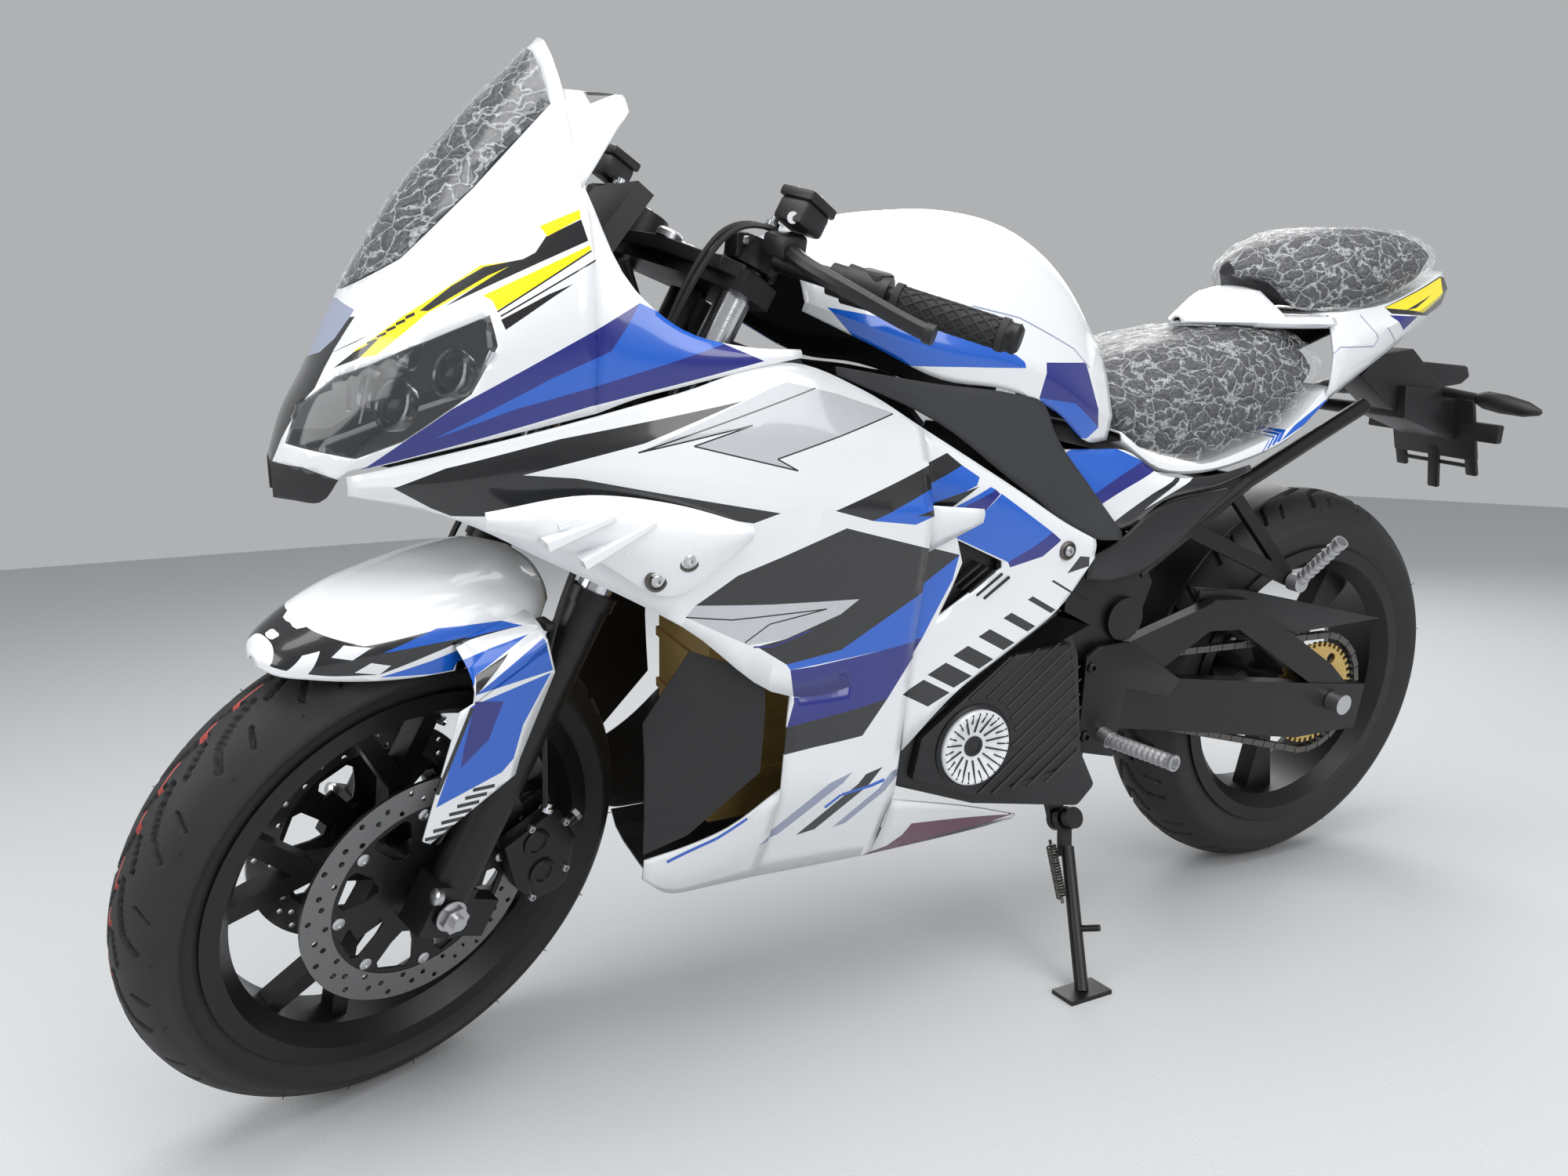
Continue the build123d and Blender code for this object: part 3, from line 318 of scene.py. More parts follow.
AXLE_WAY = way_in_space(STEERED, SIDEWAYS)
REAR_WAY = way_in_space(BIKE, SIDEWAYS)
FRONT_SPOT = point_in_space(STEERED, FRONT_AXLE)
REAR_SPOT = point_in_space(BIKE, REAR_AXLE)
DISC_GREY = (0.26, 0.26, 0.26)
FRONT_DISC_STEEL = turned_metal("ground_disc_front", DISC_GREY, FRONT_SPOT, AXLE_WAY)
REAR_DISC_STEEL = turned_metal("ground_disc_rear", DISC_GREY, REAR_SPOT, REAR_WAY)


# Making shapes
def flow(points, cuts, sharp=()):
    """Points of a smooth line through the given ones, with corners kept at the sharp ones."""
    points = [Vector(p) for p in points]
    gaps = [b - a for a, b in zip(points, points[1:])]
    spans = [max(g.length, 1e-6) for g in gaps]
    slopes = [g / s for g, s in zip(gaps, spans)]
    line = [points[0]]
    for i, gap in enumerate(gaps):
        leave = arrive = slopes[i]
        if i > 0 and i not in sharp:
            share = spans[i - 1] + spans[i]
            leave = (slopes[i - 1] * spans[i] + slopes[i] * spans[i - 1]) / share
        if i < len(gaps) - 1 and i + 1 not in sharp:
            share = spans[i] + spans[i + 1]
            arrive = (slopes[i] * spans[i + 1] + slopes[i + 1] * spans[i]) / share
        for k in range(1, cuts + 1):
            t = k / cuts
            swing_out = leave * (spans[i] * t * (1 - t) ** 2)
            swing_in = arrive * (-spans[i] * t * t * (1 - t))
            line.append(points[i] + gap * (t * t * (3 - 2 * t)) + swing_out + swing_in)
    return line


def chain_of(bm, points, closed=False):
    verts = [bm.verts.new(p) for p in points]
    edges = [bm.edges.new(pair) for pair in zip(verts, verts[1:])]
    if closed:
        edges.append(bm.edges.new((verts[-1], verts[0])))
    return edges


def sheet_of(rows, creases=(), breaks=(), long_cuts=6, cross_cuts=4, centred=False):
    """Sheet through upright sections, smooth except along creases and across breaks."""
    bm = bmesh.new()
    columns = []
    for k in range(len(rows[0][1])):
        column = [Vector((points[k][0], y, points[k][1])) for y, points in rows]
        columns.append(flow(column, long_cuts, breaks))
    last = None
    for section in zip(*columns):
        section = list(section)
        if centred:
            ghost = section[-2].copy()
            ghost.x = -ghost.x
            line = flow(section + [ghost], cross_cuts, creases)[:-cross_cuts]
        else:
            line = flow(section, cross_cuts, creases)
        edges = chain_of(bm, line)
        if last:
            bmesh.ops.bridge_loops(bm, edges=last + edges)
        last = edges
    return bm


def face_away(bm, point):
    """Turn every face so that it looks away from the given inner point or line."""
    bm.normal_update()
    wrong = []
    for face in bm.faces:
        middle = face.calc_center_median()
        inner = Vector(point(middle)) if callable(point) else Vector(point)
        if face.normal.dot(middle - inner) < 0:
            wrong.append(face)
    bmesh.ops.reverse_faces(bm, faces=wrong)


def join(bm, other):
    """Add another mesh and free it."""
    mesh = bpy.data.meshes.new("part")
    other.to_mesh(mesh)
    other.free()
    bm.from_mesh(mesh)
    bpy.data.meshes.remove(mesh)


def inside(y, z, outline):
    within = False
    for (ay, az), (by, bz) in zip(outline, outline[1:] + outline[:1]):
        if (az > z) != (bz > z) and y < (by - ay) * (z - az) / (bz - az) + ay:
            within = not within
    return within


def near_faces(bm, view, low, high):
    found = []
    for face in bm.faces:
        firsts = [v.co[view[0]] for v in face.verts]
        seconds = [v.co[view[1]] for v in face.verts]
        if max(firsts) < low[0] or min(firsts) > high[0]:
            continue
        if max(seconds) < low[1] or min(seconds) > high[1]:
            continue
        found.append(face)
    return found


def paint(bm, outline, slot, view=(1, 2), only=None):
    """Cut an outline, seen along one axis, into a sheet and give what it holds a finish slot."""
    outline = [tuple(p) for p in outline]
    for a, b in zip(outline, outline[1:] + outline[:1]):
        low = (min(a[0], b[0]) - 0.5, min(a[1], b[1]) - 0.5)
        high = (max(a[0], b[0]) + 0.5, max(a[1], b[1]) + 0.5)
        faces = near_faces(bm, view, low, high)
        geom = faces + list({e for f in faces for e in f.edges}) + list({v for f in faces for v in f.verts})
        spot, across = Vector(), Vector()
        spot[view[0]], spot[view[1]] = a
        across[view[0]], across[view[1]] = b[1] - a[1], a[0] - b[0]
        if across.length > 0 and faces:
            bmesh.ops.bisect_plane(bm, geom=geom, dist=0.02, plane_co=spot, plane_no=across.normalized())
    low = (min(p[0] for p in outline), min(p[1] for p in outline))
    high = (max(p[0] for p in outline), max(p[1] for p in outline))
    for face in near_faces(bm, view, low, high):
        middle = face.calc_center_median()
        if inside(middle[view[0]], middle[view[1]], outline):
            if only is None or face.material_index in only:
                face.material_index = slot


def keep_slot(bm, slot):
    """Copy with only the faces of one finish slot."""
    kept = bm.copy()
    others = [f for f in kept.faces if f.material_index != slot]
    bmesh.ops.delete(kept, geom=others, context="FACES")
    return kept


def mirrored(bm):
    """Add the right-hand half of a left-hand shape and close the middle."""
    half = bm.copy()
    for vert in half.verts:
        vert.co.x = -vert.co.x
    bmesh.ops.reverse_faces(half, faces=half.faces)
    join(bm, half)
    middle = [v for v in bm.verts if abs(v.co.x) < 0.01]
    bmesh.ops.remove_doubles(bm, verts=middle, dist=0.02)


def piece(name, bm, body, finishes, place=BIKE, stands_for=(), smooth=35, wall=None, round_off=None):
    """Finish a mesh: put it in its place, give it its body and finishes."""
    bm.transform(place)
    mesh = bpy.data.meshes.new(name)
    bm.to_mesh(mesh)
    bm.free()
    obj = bpy.data.objects.new(name, mesh)
    bpy.context.scene.collection.objects.link(obj)
    for finish in finishes:
        mesh.materials.append(finish)
    if wall:
        thick = obj.modifiers.new("wall", "SOLIDIFY")
        thick.thickness = wall / 1000
        thick.offset = -1
        thick.material_offset = len(finishes)
        thick.material_offset_rim = 0
    if round_off:
        bevel = obj.modifiers.new("edges", "BEVEL")
        bevel.width = round_off / 1000
        bevel.segments = 2
        bevel.limit_method = "ANGLE"
        bevel.angle_limit = math.radians(35)
    mesh.shade_smooth()
    mesh.set_sharp_from_angle(angle=math.radians(smooth))
    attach(obj, body)
    for node in stands_for:
        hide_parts(node)
    return obj


def turned_to(way, at=(0, 0, 0)):
    """Matrix that stands a shape made along Z at a point, along a direction."""
    turn = Vector((0, 0, 1)).rotation_difference(Vector(way)).to_matrix().to_4x4()
    return Matrix.Translation(Vector(at)) @ turn


def rod(bm, start, end, radius, end_radius=None, sides=20):
    """Round bar between two points."""
    start, end = Vector(start), Vector(end)
    length = (end - start).length
    stand = turned_to(end - start, (start + end) / 2)
    wide = radius if end_radius is None else end_radius
    return bmesh.ops.create_cone(
        bm, cap_ends=True, segments=sides, radius1=radius, radius2=wide, depth=length, matrix=stand
    )["verts"]


def lathe(bm, profile, at, way, steps=32, slot=0):
    """Spin a profile of (reach, height) about a line."""
    made = bmesh.new()
    edges = chain_of(made, [(reach, 0, height) for reach, height in profile])
    geom = edges + made.verts[:]
    round_z = {"cent": (0, 0, 0), "axis": (0, 0, 1), "dvec": (0, 0, 0), "angle": math.tau}
    bmesh.ops.spin(made, geom=geom, steps=steps, use_merge=True, **round_z)
    bmesh.ops.remove_doubles(made, verts=made.verts[:], dist=0.001)
    bmesh.ops.recalc_face_normals(made, faces=made.faces[:])
    for face in made.faces:
        face.material_index = slot
    made.transform(turned_to(way, at))
    join(bm, made)


def slab(bm, outline, x_low, x_high, slot=0, bevel=0.0):
    """Plate with a side-view outline of (y, z) points."""
    made = bmesh.new()
    face = made.faces.new([made.verts.new((x_low, y, z)) for y, z in outline])
    raised = bmesh.ops.extrude_face_region(made, geom=[face])["geom"]
    tops = [v for v in raised if isinstance(v, bmesh.types.BMVert)]
    bmesh.ops.translate(made, vec=(x_high - x_low, 0, 0), verts=tops)
    bmesh.ops.recalc_face_normals(made, faces=made.faces[:])
    if bevel:
        bmesh.ops.bevel(
            made, geom=made.edges[:], offset=bevel, segments=2, profile=0.5, affect="EDGES", material=-1
        )
    for face in made.faces:
        face.material_index = slot
    join(bm, made)


def block(bm, centre, size, slot=0, bevel=0.0, turn=None):
    """Box with rounded edges."""
    made = bmesh.new()
    stand = Matrix.Translation(Vector(centre)) @ (turn or Matrix()) @ Matrix.Diagonal((*size, 1))
    bmesh.ops.create_cube(made, size=1, matrix=stand)
    if bevel:
        bmesh.ops.bevel(
            made, geom=made.edges[:], offset=bevel, segments=2, profile=0.5, affect="EDGES", material=-1
        )
    for face in made.faces:
        face.material_index = slot
    join(bm, made)


def beam(bm, start, end, wide, deep, slot=0, bevel=1.5):
    """Bar with a rectangular section between two points, wide along X."""
    start, end = Vector(start), Vector(end)
    along = (end - start).normalized()
    side = SIDEWAYS - along * along.x
    side.normalize()
    up = along.cross(side)
    turn = Matrix((side, up, along)).transposed().to_4x4()
    block(bm, (start + end) / 2, (wide, deep, (end - start).length), slot, bevel, turn)


def hose(bm, points, radius, slot=0, order=3, sides=10):
    """Round hose along a smooth line near the given points."""
    curve = bpy.data.curves.new("line", "CURVE")
    curve.dimensions = "3D"
    spline = curve.splines.new("NURBS")
    spline.points.add(len(points) - 1)
    for point, target in zip(spline.points, points):
        point.co = (*target, 1)
    spline.order_u = order
    spline.use_endpoint_u = True
    curve.bevel_depth = radius
    curve.bevel_resolution = max(1, sides // 4 - 1)
    curve.resolution_u = 8
    curve.use_fill_caps = True
    holder = bpy.data.objects.new("line", curve)
    mesh = bpy.data.meshes.new_from_object(holder)
    made = bmesh.new()
    made.from_mesh(mesh)
    for face in made.faces:
        face.material_index = slot
        face.smooth = True
    bpy.data.objects.remove(holder)
    bpy.data.curves.remove(curve)
    bpy.data.meshes.remove(mesh)
    join(bm, made)


def socket_screw(bm, at, way, radius=5.0, height=4.0, slot=0):
    """Socket head screw: domed rim and a six-sided hollow."""
    way = Vector(way).normalized()
    profile = [(radius, 0), (radius, height * 0.7), (radius * 0.82, height), (radius * 0.5, height)]
    profile += [(radius * 0.45, height * 0.3), (0, height * 0.3)]
    lathe(bm, profile, at, way, 12, slot)


def hex_nut(bm, at, way, radius=9.0, height=7.0, slot=0):
    way = Vector(way).normalized()
    verts = rod(bm, Vector(at), Vector(at) + way * height, radius, sides=6)
    for face in {f for v in verts for f in v.link_faces}:
        face.material_index = slot


def both_sides(bm):
    """Add a mirrored copy of everything to the right-hand side."""
    half = bm.copy()
    for vert in half.verts:
        vert.co.x = -vert.co.x
    bmesh.ops.reverse_faces(half, faces=half.faces[:])
    join(bm, half)

# Sections of the panels: y, then (x, z) points
FENDER_ROWS = [
    (-144, [(8, 586), (7, 589), (4, 591), (0, 592)]),
    (-136, [(32, 584), (30, 592), (18, 600), (0, 603)]),
    (-110, [(54, 582), (52, 596), (34, 612), (0, 616)]),
    (-60, [(71, 574), (70, 600), (48, 629), (0, 638)]),
    (0, [(82, 569), (80, 602), (54, 640), (0, 649)]),
    (60, [(90, 572), (86, 606), (54, 648), (0, 657)]),
    (110, [(90, 590), (85, 614), (50, 649), (0, 657)]),
    (146, [(64, 612), (60, 622), (38, 640), (0, 645)]),
]
FENDER_LEG = [
    (20, 562),
    (103, 602),
    (115, 560),
    (76, 468),
    (71, 449),
    (-28, 402),
    (-36, 408),
    (4, 546),
    (19, 551),
]
COWL_ROWS = [
    (-88, [(26, 716), (27, 726), (26, 738), (22, 748), (14, 753), (0, 756)]),
    (-72, [(52, 717), (56, 735), (54, 760), (44, 780), (24, 795), (0, 800)]),
    (-50, [(78, 718), (83, 740), (80, 780), (62, 815), (32, 833), (0, 838)]),
    (-25, [(104, 751), (106, 757), (104, 782), (88, 830), (50, 868), (0, 890)]),
    (0, [(118, 757), (124, 775), (122, 815), (108, 860), (62, 905), (0, 934)]),
    (40, [(134, 768), (146, 800), (143, 850), (122, 895), (78, 945), (0, 997)]),
    (111, [(156, 786), (166, 835), (163, 885), (140, 930), (95, 995), (0, 1080)]),
    (200, [(175, 808), (182, 860), (176, 940), (150, 1017), (108, 1080), (0, 1168)]),
]
SCREEN_VIEW = [
    (-60, 1240),
    (-60, 905),
    (-8, 918),
    (40, 948),
    (111, 1015),
    (188, 1096),
    (188, 1240),
]
LENS_VIEW = [
    (-74, 772),
    (-61, 808),
    (-26, 839),
    (36, 870),
    (105, 900),
    (109, 872),
    (84, 828),
    (23, 782),
    (-18, 764),
]
CHIN_VIEW = [(-100, 690), (-100, 752), (-62, 752), (-28, 741), (-28, 690)]
COCKPIT_ROWS = [
    (200, [(150, 1017), (176, 940), (182, 860), (175, 808)]),
    (240, [(176, 925), (182, 890), (184, 850), (180, 822)]),
    (287, [(181, 888), (186, 870), (187, 850), (185, 833)]),
    (355, [(182, 871), (187, 864), (188, 856), (188, 848)]),
    (415, [(186, 868), (189, 866), (190, 864), (190, 860)]),
]
COCKPIT_ROWS = [
    (200, [(150, 1017), (176, 940), (182, 860), (175, 808)]),
    (240, [(176, 925), (182, 890), (184, 850), (180, 822)]),
    (287, [(181, 888), (186, 870), (187, 850), (185, 833)]),
    (355, [(182, 871), (187, 864), (188, 856), (188, 848)]),
    (415, [(186, 868), (189, 866), (190, 864), (190, 860)]),
]
WING_ROWS = [
    (198, [(72, 1112), (108, 1080), (130, 1050), (150, 1017)]),
    (257, [(96, 1108), (103, 1104), (108, 1099), (113, 1093)]),
]
FAIRING_FRONT = [
    (-26, [(103, 746), (105, 742), (106, 736), (101, 727)]),
    (55, [(139, 768), (145, 757), (147, 742), (131, 709)]),
    (150, [(164, 792), (170, 775), (172, 754), (168, 662)]),
    (280, [(184, 826), (194, 785), (201, 740), (198, 588)]),
    (405, [(188, 855), (203, 790), (213, 712), (204, 495)]),
]
FAIRING_MID = [
    (405, [(188, 855), (203, 790), (213, 712), (204, 495), (189, 376), (120, 230)]),
    (490, [(189, 825), (205, 770), (218, 699), (200, 495), (186, 368), (122, 228)]),
    (569, [(190, 781), (205, 742), (221, 690), (196, 527), (172, 334), (122, 226)]),
]
FAIRING_REAR = [
    (569, [(190, 781), (198, 740), (200, 700), (194, 600), (190, 500), (183, 394)]),
    (640, [(190, 741), (197, 715), (198, 680), (194, 600), (190, 530), (189, 462)]),
    (715, [(190, 698), (195, 680), (196, 660), (193, 610), (191, 560), (190, 507)]),
    (783, [(188, 658), (191, 645), (192, 630), (191, 610), (190, 580), (189, 549)]),
    (836, [(185, 632), (186, 629), (187, 625), (187, 620), (186, 614), (186, 608)]),
]
FAIRING_TAIL = [
    (569, [(170, 322), (150, 275), (122, 226)]),
    (700, [(150, 278), (140, 258), (124, 228)]),
    (786, [(138, 244), (134, 239), (128, 233)]),
]
FAIRING_TOE = [
    (250, [(162, 306), (160, 292), (157, 280)]),
    (300, [(168, 316), (150, 270), (124, 234)]),
    (345, [(178, 334), (156, 280), (121, 231)]),
    (405, [(189, 376), (160, 300), (120, 230)]),
]
BLADE_TIP = [
    (569, [(219, 700), (221, 690), (203, 640)]),
    (636, [(221, 692), (223, 688), (221, 676)]),
]
WINGLET = [
    (84, [(194, 722), (199, 716), (196, 706)]),
    (182, [(204, 734), (212, 700), (204, 672)]),
    (262, [(212, 722), (222, 680), (212, 626)]),
    (350, [(218, 694), (222, 688), (218, 678)]),
]
TANK_ROWS = [
    (444, [(130, 904), (137, 914), (124, 938), (90, 958), (50, 970), (0, 974)]),
    (510, [(158, 872), (164, 890), (148, 932), (112, 978), (62, 993), (0, 998)]),
    (600, [(172, 832), (180, 864), (164, 924), (126, 986), (70, 1010), (0, 1015)]),
    (690, [(172, 819), (178, 852), (158, 912), (118, 982), (62, 1012), (0, 1019)]),
    (780, [(158, 788), (162, 825), (140, 890), (104, 956), (55, 992), (0, 1002)]),
    (850, [(138, 746), (144, 790), (124, 852), (90, 916), (50, 948), (0, 957)]),
    (896, [(120, 744), (126, 776), (104, 834), (74, 874), (40, 892), (0, 897)]),
]
COVER_ROWS = [
    (460, [(182, 850), (184, 846), (185, 841)]),
    (592, [(180, 828), (183, 806), (184, 786)]),
    (700, [(174, 814), (180, 764), (185, 714)]),
    (752, [(166, 800), (177, 730), (183, 680)]),
    (776, [(164, 762), (174, 708), (181, 661)]),
    (840, [(158, 696), (168, 662), (177, 632)]),
    (908, [(152, 629), (153, 624), (154, 618)]),
]
SEAT_PANEL_ROWS = [
    (792, [(145, 740), (149, 735), (151, 730)]),
    (862, [(135, 736), (147, 704), (151, 668)]),
    (915, [(133, 732), (142, 680), (144, 626)]),
    (985, [(132, 696), (138, 686), (140, 662)]),
    (1085, [(131, 690), (135, 684), (136, 676)]),
    (1150, [(128, 700), (131, 697), (132, 692)]),
]
SIDE_PANEL_ROWS = [
    (846, [(164, 602), (166, 590), (164, 574)]),
    (907, [(150, 616), (150, 590), (146, 560)]),
    (971, [(138, 650), (140, 610), (136, 566)]),
    (1120, [(124, 668), (124, 664), (122, 660)]),
]
RIDER_SEAT_ROWS = [
    (904, [(98, 768), (110, 784), (86, 812), (0, 818)]),
    (975, [(110, 724), (122, 756), (92, 836), (0, 846)]),
    (1060, [(113, 712), (124, 750), (96, 852), (0, 864)]),
    (1150, [(112, 734), (122, 772), (94, 864), (0, 874)]),
    (1230, [(106, 756), (116, 800), (88, 866), (0, 874)]),
    (1296, [(88, 810), (98, 826), (78, 850), (0, 856)]),
]
PILLION_ROWS = [
    (1192, [(14, 948), (20, 953), (14, 963), (0, 969)]),
    (1225, [(42, 943), (52, 948), (40, 974), (0, 988)]),
    (1272, [(70, 909), (82, 928), (64, 990), (0, 1004)]),
    (1335, [(92, 910), (104, 936), (80, 1003), (0, 1016)]),
    (1430, [(92, 926), (102, 955), (76, 1010), (0, 1020)]),
    (1520, [(70, 950), (82, 972), (60, 1008), (0, 1016)]),
    (1572, [(44, 974), (54, 988), (38, 1001), (0, 1005)]),
]
TAIL_FRONT = [
    (915, [(106, 736), (127, 744), (124, 754), (100, 756), (0, 756)]),
    (985, [(102, 698), (128, 704), (126, 713), (104, 714), (0, 714)]),
    (1060, [(102, 688), (127, 697), (124, 704), (104, 704), (0, 704)]),
    (1160, [(102, 700), (124, 712), (121, 724), (102, 724), (0, 724)]),
    (1230, [(100, 720), (121, 734), (118, 747), (98, 748), (0, 748)]),
    (1305, [(94, 768), (113, 782), (110, 802), (90, 803), (0, 803)]),
]
TAIL_REAR = [
    (1300, [(95, 765), (114, 786), (118, 846), (100, 902), (0, 902)]),
    (1431, [(78, 826), (94, 842), (106, 888), (92, 918), (0, 918)]),
    (1520, [(60, 866), (76, 880), (90, 914), (74, 942), (0, 942)]),
    (1598, [(36, 894), (54, 908), (64, 940), (50, 965), (0, 965)]),
]
TAIL_HUMP = [
    (1110, [(8, 884), (10, 887), (8, 890), (5, 893), (0, 894)]),
    (1135, [(34, 884), (42, 888), (36, 894), (20, 906), (0, 909)]),
    (1186, [(68, 883), (78, 889), (72, 901), (38, 928), (0, 936)]),
    (1215, [(92, 882), (101, 889), (95, 901), (48, 931), (0, 938)]),
]
TAIL_SHELF = [
    (1186, [(70, 882), (78, 889), (72, 897), (60, 899), (0, 899)]),
    (1215, [(94, 882), (101, 889), (96, 897), (84, 899), (0, 899)]),
    (1260, [(98, 882), (109, 889), (104, 898), (90, 900), (0, 900)]),
    (1304, [(98, 882), (112, 889), (106, 898), (90, 900), (0, 900)]),
]

LIVERY = [WHITE, BLUE, NAVY, BLACK, YELLOW, SILVER, MAROON, GREY_BLUE, TWILL, PLASTIC]
IS_WHITE, IS_BLUE, IS_NAVY, IS_BLACK, IS_YELLOW, IS_SILVER, IS_MAROON, IS_GREY = range(8)
LIVERY_SLOTS = range(9)
FOR_SCREEN, FOR_LENS, FOR_CHIN, FOR_VENT = 20, 21, 22, 23
VENT_VIEW = [(619, 652), (687, 620), (688, 612), (602, 560), (619, 596), (629, 624)]


# Painted bands, and a few lines of painted shade, as outlines seen from the side: y, then z
def stroke(slot, points, wide):
    """Thin painted line along the given side-view points."""
    bands = []
    for a, b in zip(points, points[1:]):
        along = Vector((b[0] - a[0], b[1] - a[1])).normalized() * wide / 2
        across = (-along.y, along.x)
        bands.append(
            (
                slot,
                [
                    (a[0] + across[0], a[1] + across[1]),
                    (b[0] + across[0], b[1] + across[1]),
                    (b[0] - across[0], b[1] - across[1]),
                    (a[0] - across[0], a[1] - across[1]),
                ],
            )
        )
    return bands


def ladder(slot, count, start, step, reach, thin, grow):
    """Row of slanted bars, each one thicker than the one before."""
    bands = []
    for k in range(count):
        a = Vector(start) + Vector(step) * k
        b = a + Vector(reach)
        back = Vector(thin) + Vector(grow) * k
        bands.append((slot, [tuple(a), tuple(b), tuple(b + back), tuple(a + back)]))
    return bands


COWL_BANDS = [
    (
        IS_NAVY,
        [(-26, 750), (-8, 757), (31, 788), (66, 814), (244, 913)]
        + [(331, 874), (373, 857), (194, 815), (66, 777)],
    ),
    (
        IS_BLUE,
        [(50, 785), (158, 843), (213, 868), (229, 890)]
        + [(244, 913), (331, 874), (190, 832), (123, 813)],
    ),
    (IS_YELLOW, [(-10, 857), (7, 861), (53, 900), (108, 931), (145, 951), (104, 944), (32, 896), (-9, 864)]),
    (IS_BLACK, [(47, 902), (54, 902), (109, 935), (145, 952), (107, 943), (77, 925)]),
    (IS_BLACK, [(68, 906), (155, 949), (197, 969), (193, 988), (162, 972), (151, 957), (121, 940)]),
    (IS_YELLOW, [(158, 981), (193, 997), (193, 989), (163, 972)]),
    (IS_YELLOW, [(102, 917), (198, 965), (199, 961), (166, 939), (112, 904), (109, 913)]),
    (IS_BLACK, [(114, 896), (158, 920), (181, 930), (161, 917), (117, 887)]),
    (IS_BLACK, [(-33, 855), (-15, 867), (10, 883), (-6, 872)]),
    (IS_BLACK, [(-27, 846), (-9, 863), (12, 877), (-7, 857)]),
    (IS_BLACK, [(221, 1110), (251, 1109), (223, 1097)]),
]
COWL_BANDS += stroke(IS_BLACK, [(112, 903), (199, 960)], 1.4)
COWL_BANDS += stroke(IS_BLACK, [(114, 899), (203, 952)], 1.4)
COWL_BANDS += ladder(IS_BLACK, 5, (1, 870), (8.5, 6), (8, 4), (0, 2), (0, 0.2))
NOSE_MASK = [(-1, 700), (31, 763), (36, 775), (43, 789), (54, 814)]
NOSE_MASK += [(61, 826), (59, 845), (60, 862), (69, 894)]
NOSE_MASK += [(61, 893), (52, 872), (36, 858), (-1, 851)]
NOSE_PATCH = [(-1, 851), (36, 858), (52, 872), (61, 893), (62, 900), (16, 909), (-1, 909)]

FAIRING_BANDS = [
    (
        IS_BLACK,
        [(13, 737), (59, 757), (164, 784), (347, 818), (244, 779), (128, 750), (178, 746), (308, 719)]
        + [(385, 703), (355, 694), (195, 725), (128, 709), (64, 708), (46, 716)],
    ),
    (
        IS_SILVER,
        [(237, 770), (378, 830), (397, 836), (454, 823), (527, 800)]
        + [(382, 759), (405, 746), (293, 775), (356, 794)],
    ),
    (IS_BLACK, [(447, 702), (600, 753), (621, 738), (493, 688)]),
    (IS_BLUE, [(493, 688), (621, 738), (646, 723), (641, 714), (547, 680)]),
    (IS_BLACK, [(547, 690), (645, 713), (596, 685)]),
    (IS_BLUE, [(596, 685), (662, 711), (670, 707), (612, 686)]),
    (IS_NAVY, [(612, 686), (670, 707), (676, 702), (655, 684)]),
    (IS_BLUE, [(655, 684), (678, 702), (760, 649), (729, 632), (696, 618), (616, 655), (640, 668)]),
    (IS_NAVY, [(760, 649), (775, 638), (748, 620), (700, 611), (696, 618), (729, 632)]),
    (
        IS_BLACK,
        [(294, 610), (339, 639), (393, 657), (462, 682), (624, 634), (562, 593), (467, 541), (399, 533)]
        + [(363, 558), (397, 563), (463, 584), (485, 599), (376, 604)],
    ),
    (
        IS_SILVER,
        [(284, 598), (294, 610), (376, 604), (485, 599)]
        + [(463, 584), (397, 563), (353, 561), (319, 579)],
    ),
    (
        IS_BLUE,
        [(624, 634), (618, 604), (583, 537), (522, 532)]
        + [(404, 526), (399, 533), (467, 541), (562, 593)],
    ),
    (
        IS_NAVY,
        [(583, 537), (539, 468), (493, 463), (405, 456)]
        + [(411, 486), (404, 526), (433, 526), (522, 532)],
    ),
    (IS_BLACK, [(539, 468), (508, 426), (445, 424), (383, 420), (379, 424), (405, 456), (493, 463)]),
    (IS_MAROON, [(613, 272), (779, 248), (727, 231), (628, 226), (545, 224), (590, 236), (606, 252)]),
    (IS_BLACK, [(784, 241), (709, 236), (560, 222), (664, 222), (738, 228)]),
    (IS_BLACK, [(810, 614), (827, 611), (828, 599), (791, 594)]),
    (IS_GREY, [(470, 372), (500, 380), (420, 300), (392, 292)]),
    (IS_BLACK, [(520, 372), (545, 376), (470, 296), (446, 292)]),
    (IS_GREY, [(560, 366), (578, 368), (512, 296), (495, 293)]),
]
FAIRING_BANDS += stroke(IS_BLACK, [(237, 770), (430, 829)], 1.6)
ZIGZAG = [(237, 770), (356, 794), (293, 775), (405, 746), (382, 759), (527, 799)]
FAIRING_BANDS += stroke(IS_BLACK, ZIGZAG, 1.6)
FAIRING_BANDS += stroke(IS_BLACK, [(284, 598), (334, 591), (445, 592), (377, 582), (349, 564)], 1.6)
FAIRING_BANDS += stroke(IS_NAVY, [(359, 558), (382, 556), (426, 569)], 2)
FAIRING_BANDS += stroke(IS_BLUE, [(277, 299), (332, 322), (367, 344)], 5)
FAIRING_BANDS += stroke(IS_BLUE, [(474, 331), (491, 348), (550, 357)], 5)
FAIRING_BANDS += ladder(IS_BLACK, 7, (770, 588), (-30, -17.5), (39, -22), (-3, -1.5), (-4.4, -2.1))

TANK_BANDS = [
    (
        IS_BLUE,
        [(466, 909), (503, 903), (594, 888), (650, 873), (700, 858)]
        + [(713, 850), (715, 843), (624, 846), (525, 848)],
    ),
    (IS_BLUE, [(753, 848), (839, 844), (867, 763), (845, 751), (832, 752), (755, 795), (745, 807)]),
    (IS_NAVY, [(753, 848), (839, 844), (867, 763), (811, 797), (745, 807)]),
]
TANK_BANDS += stroke(IS_GREY, [(640, 912), (712, 899), (775, 876), (814, 861), (847, 837)], 2)

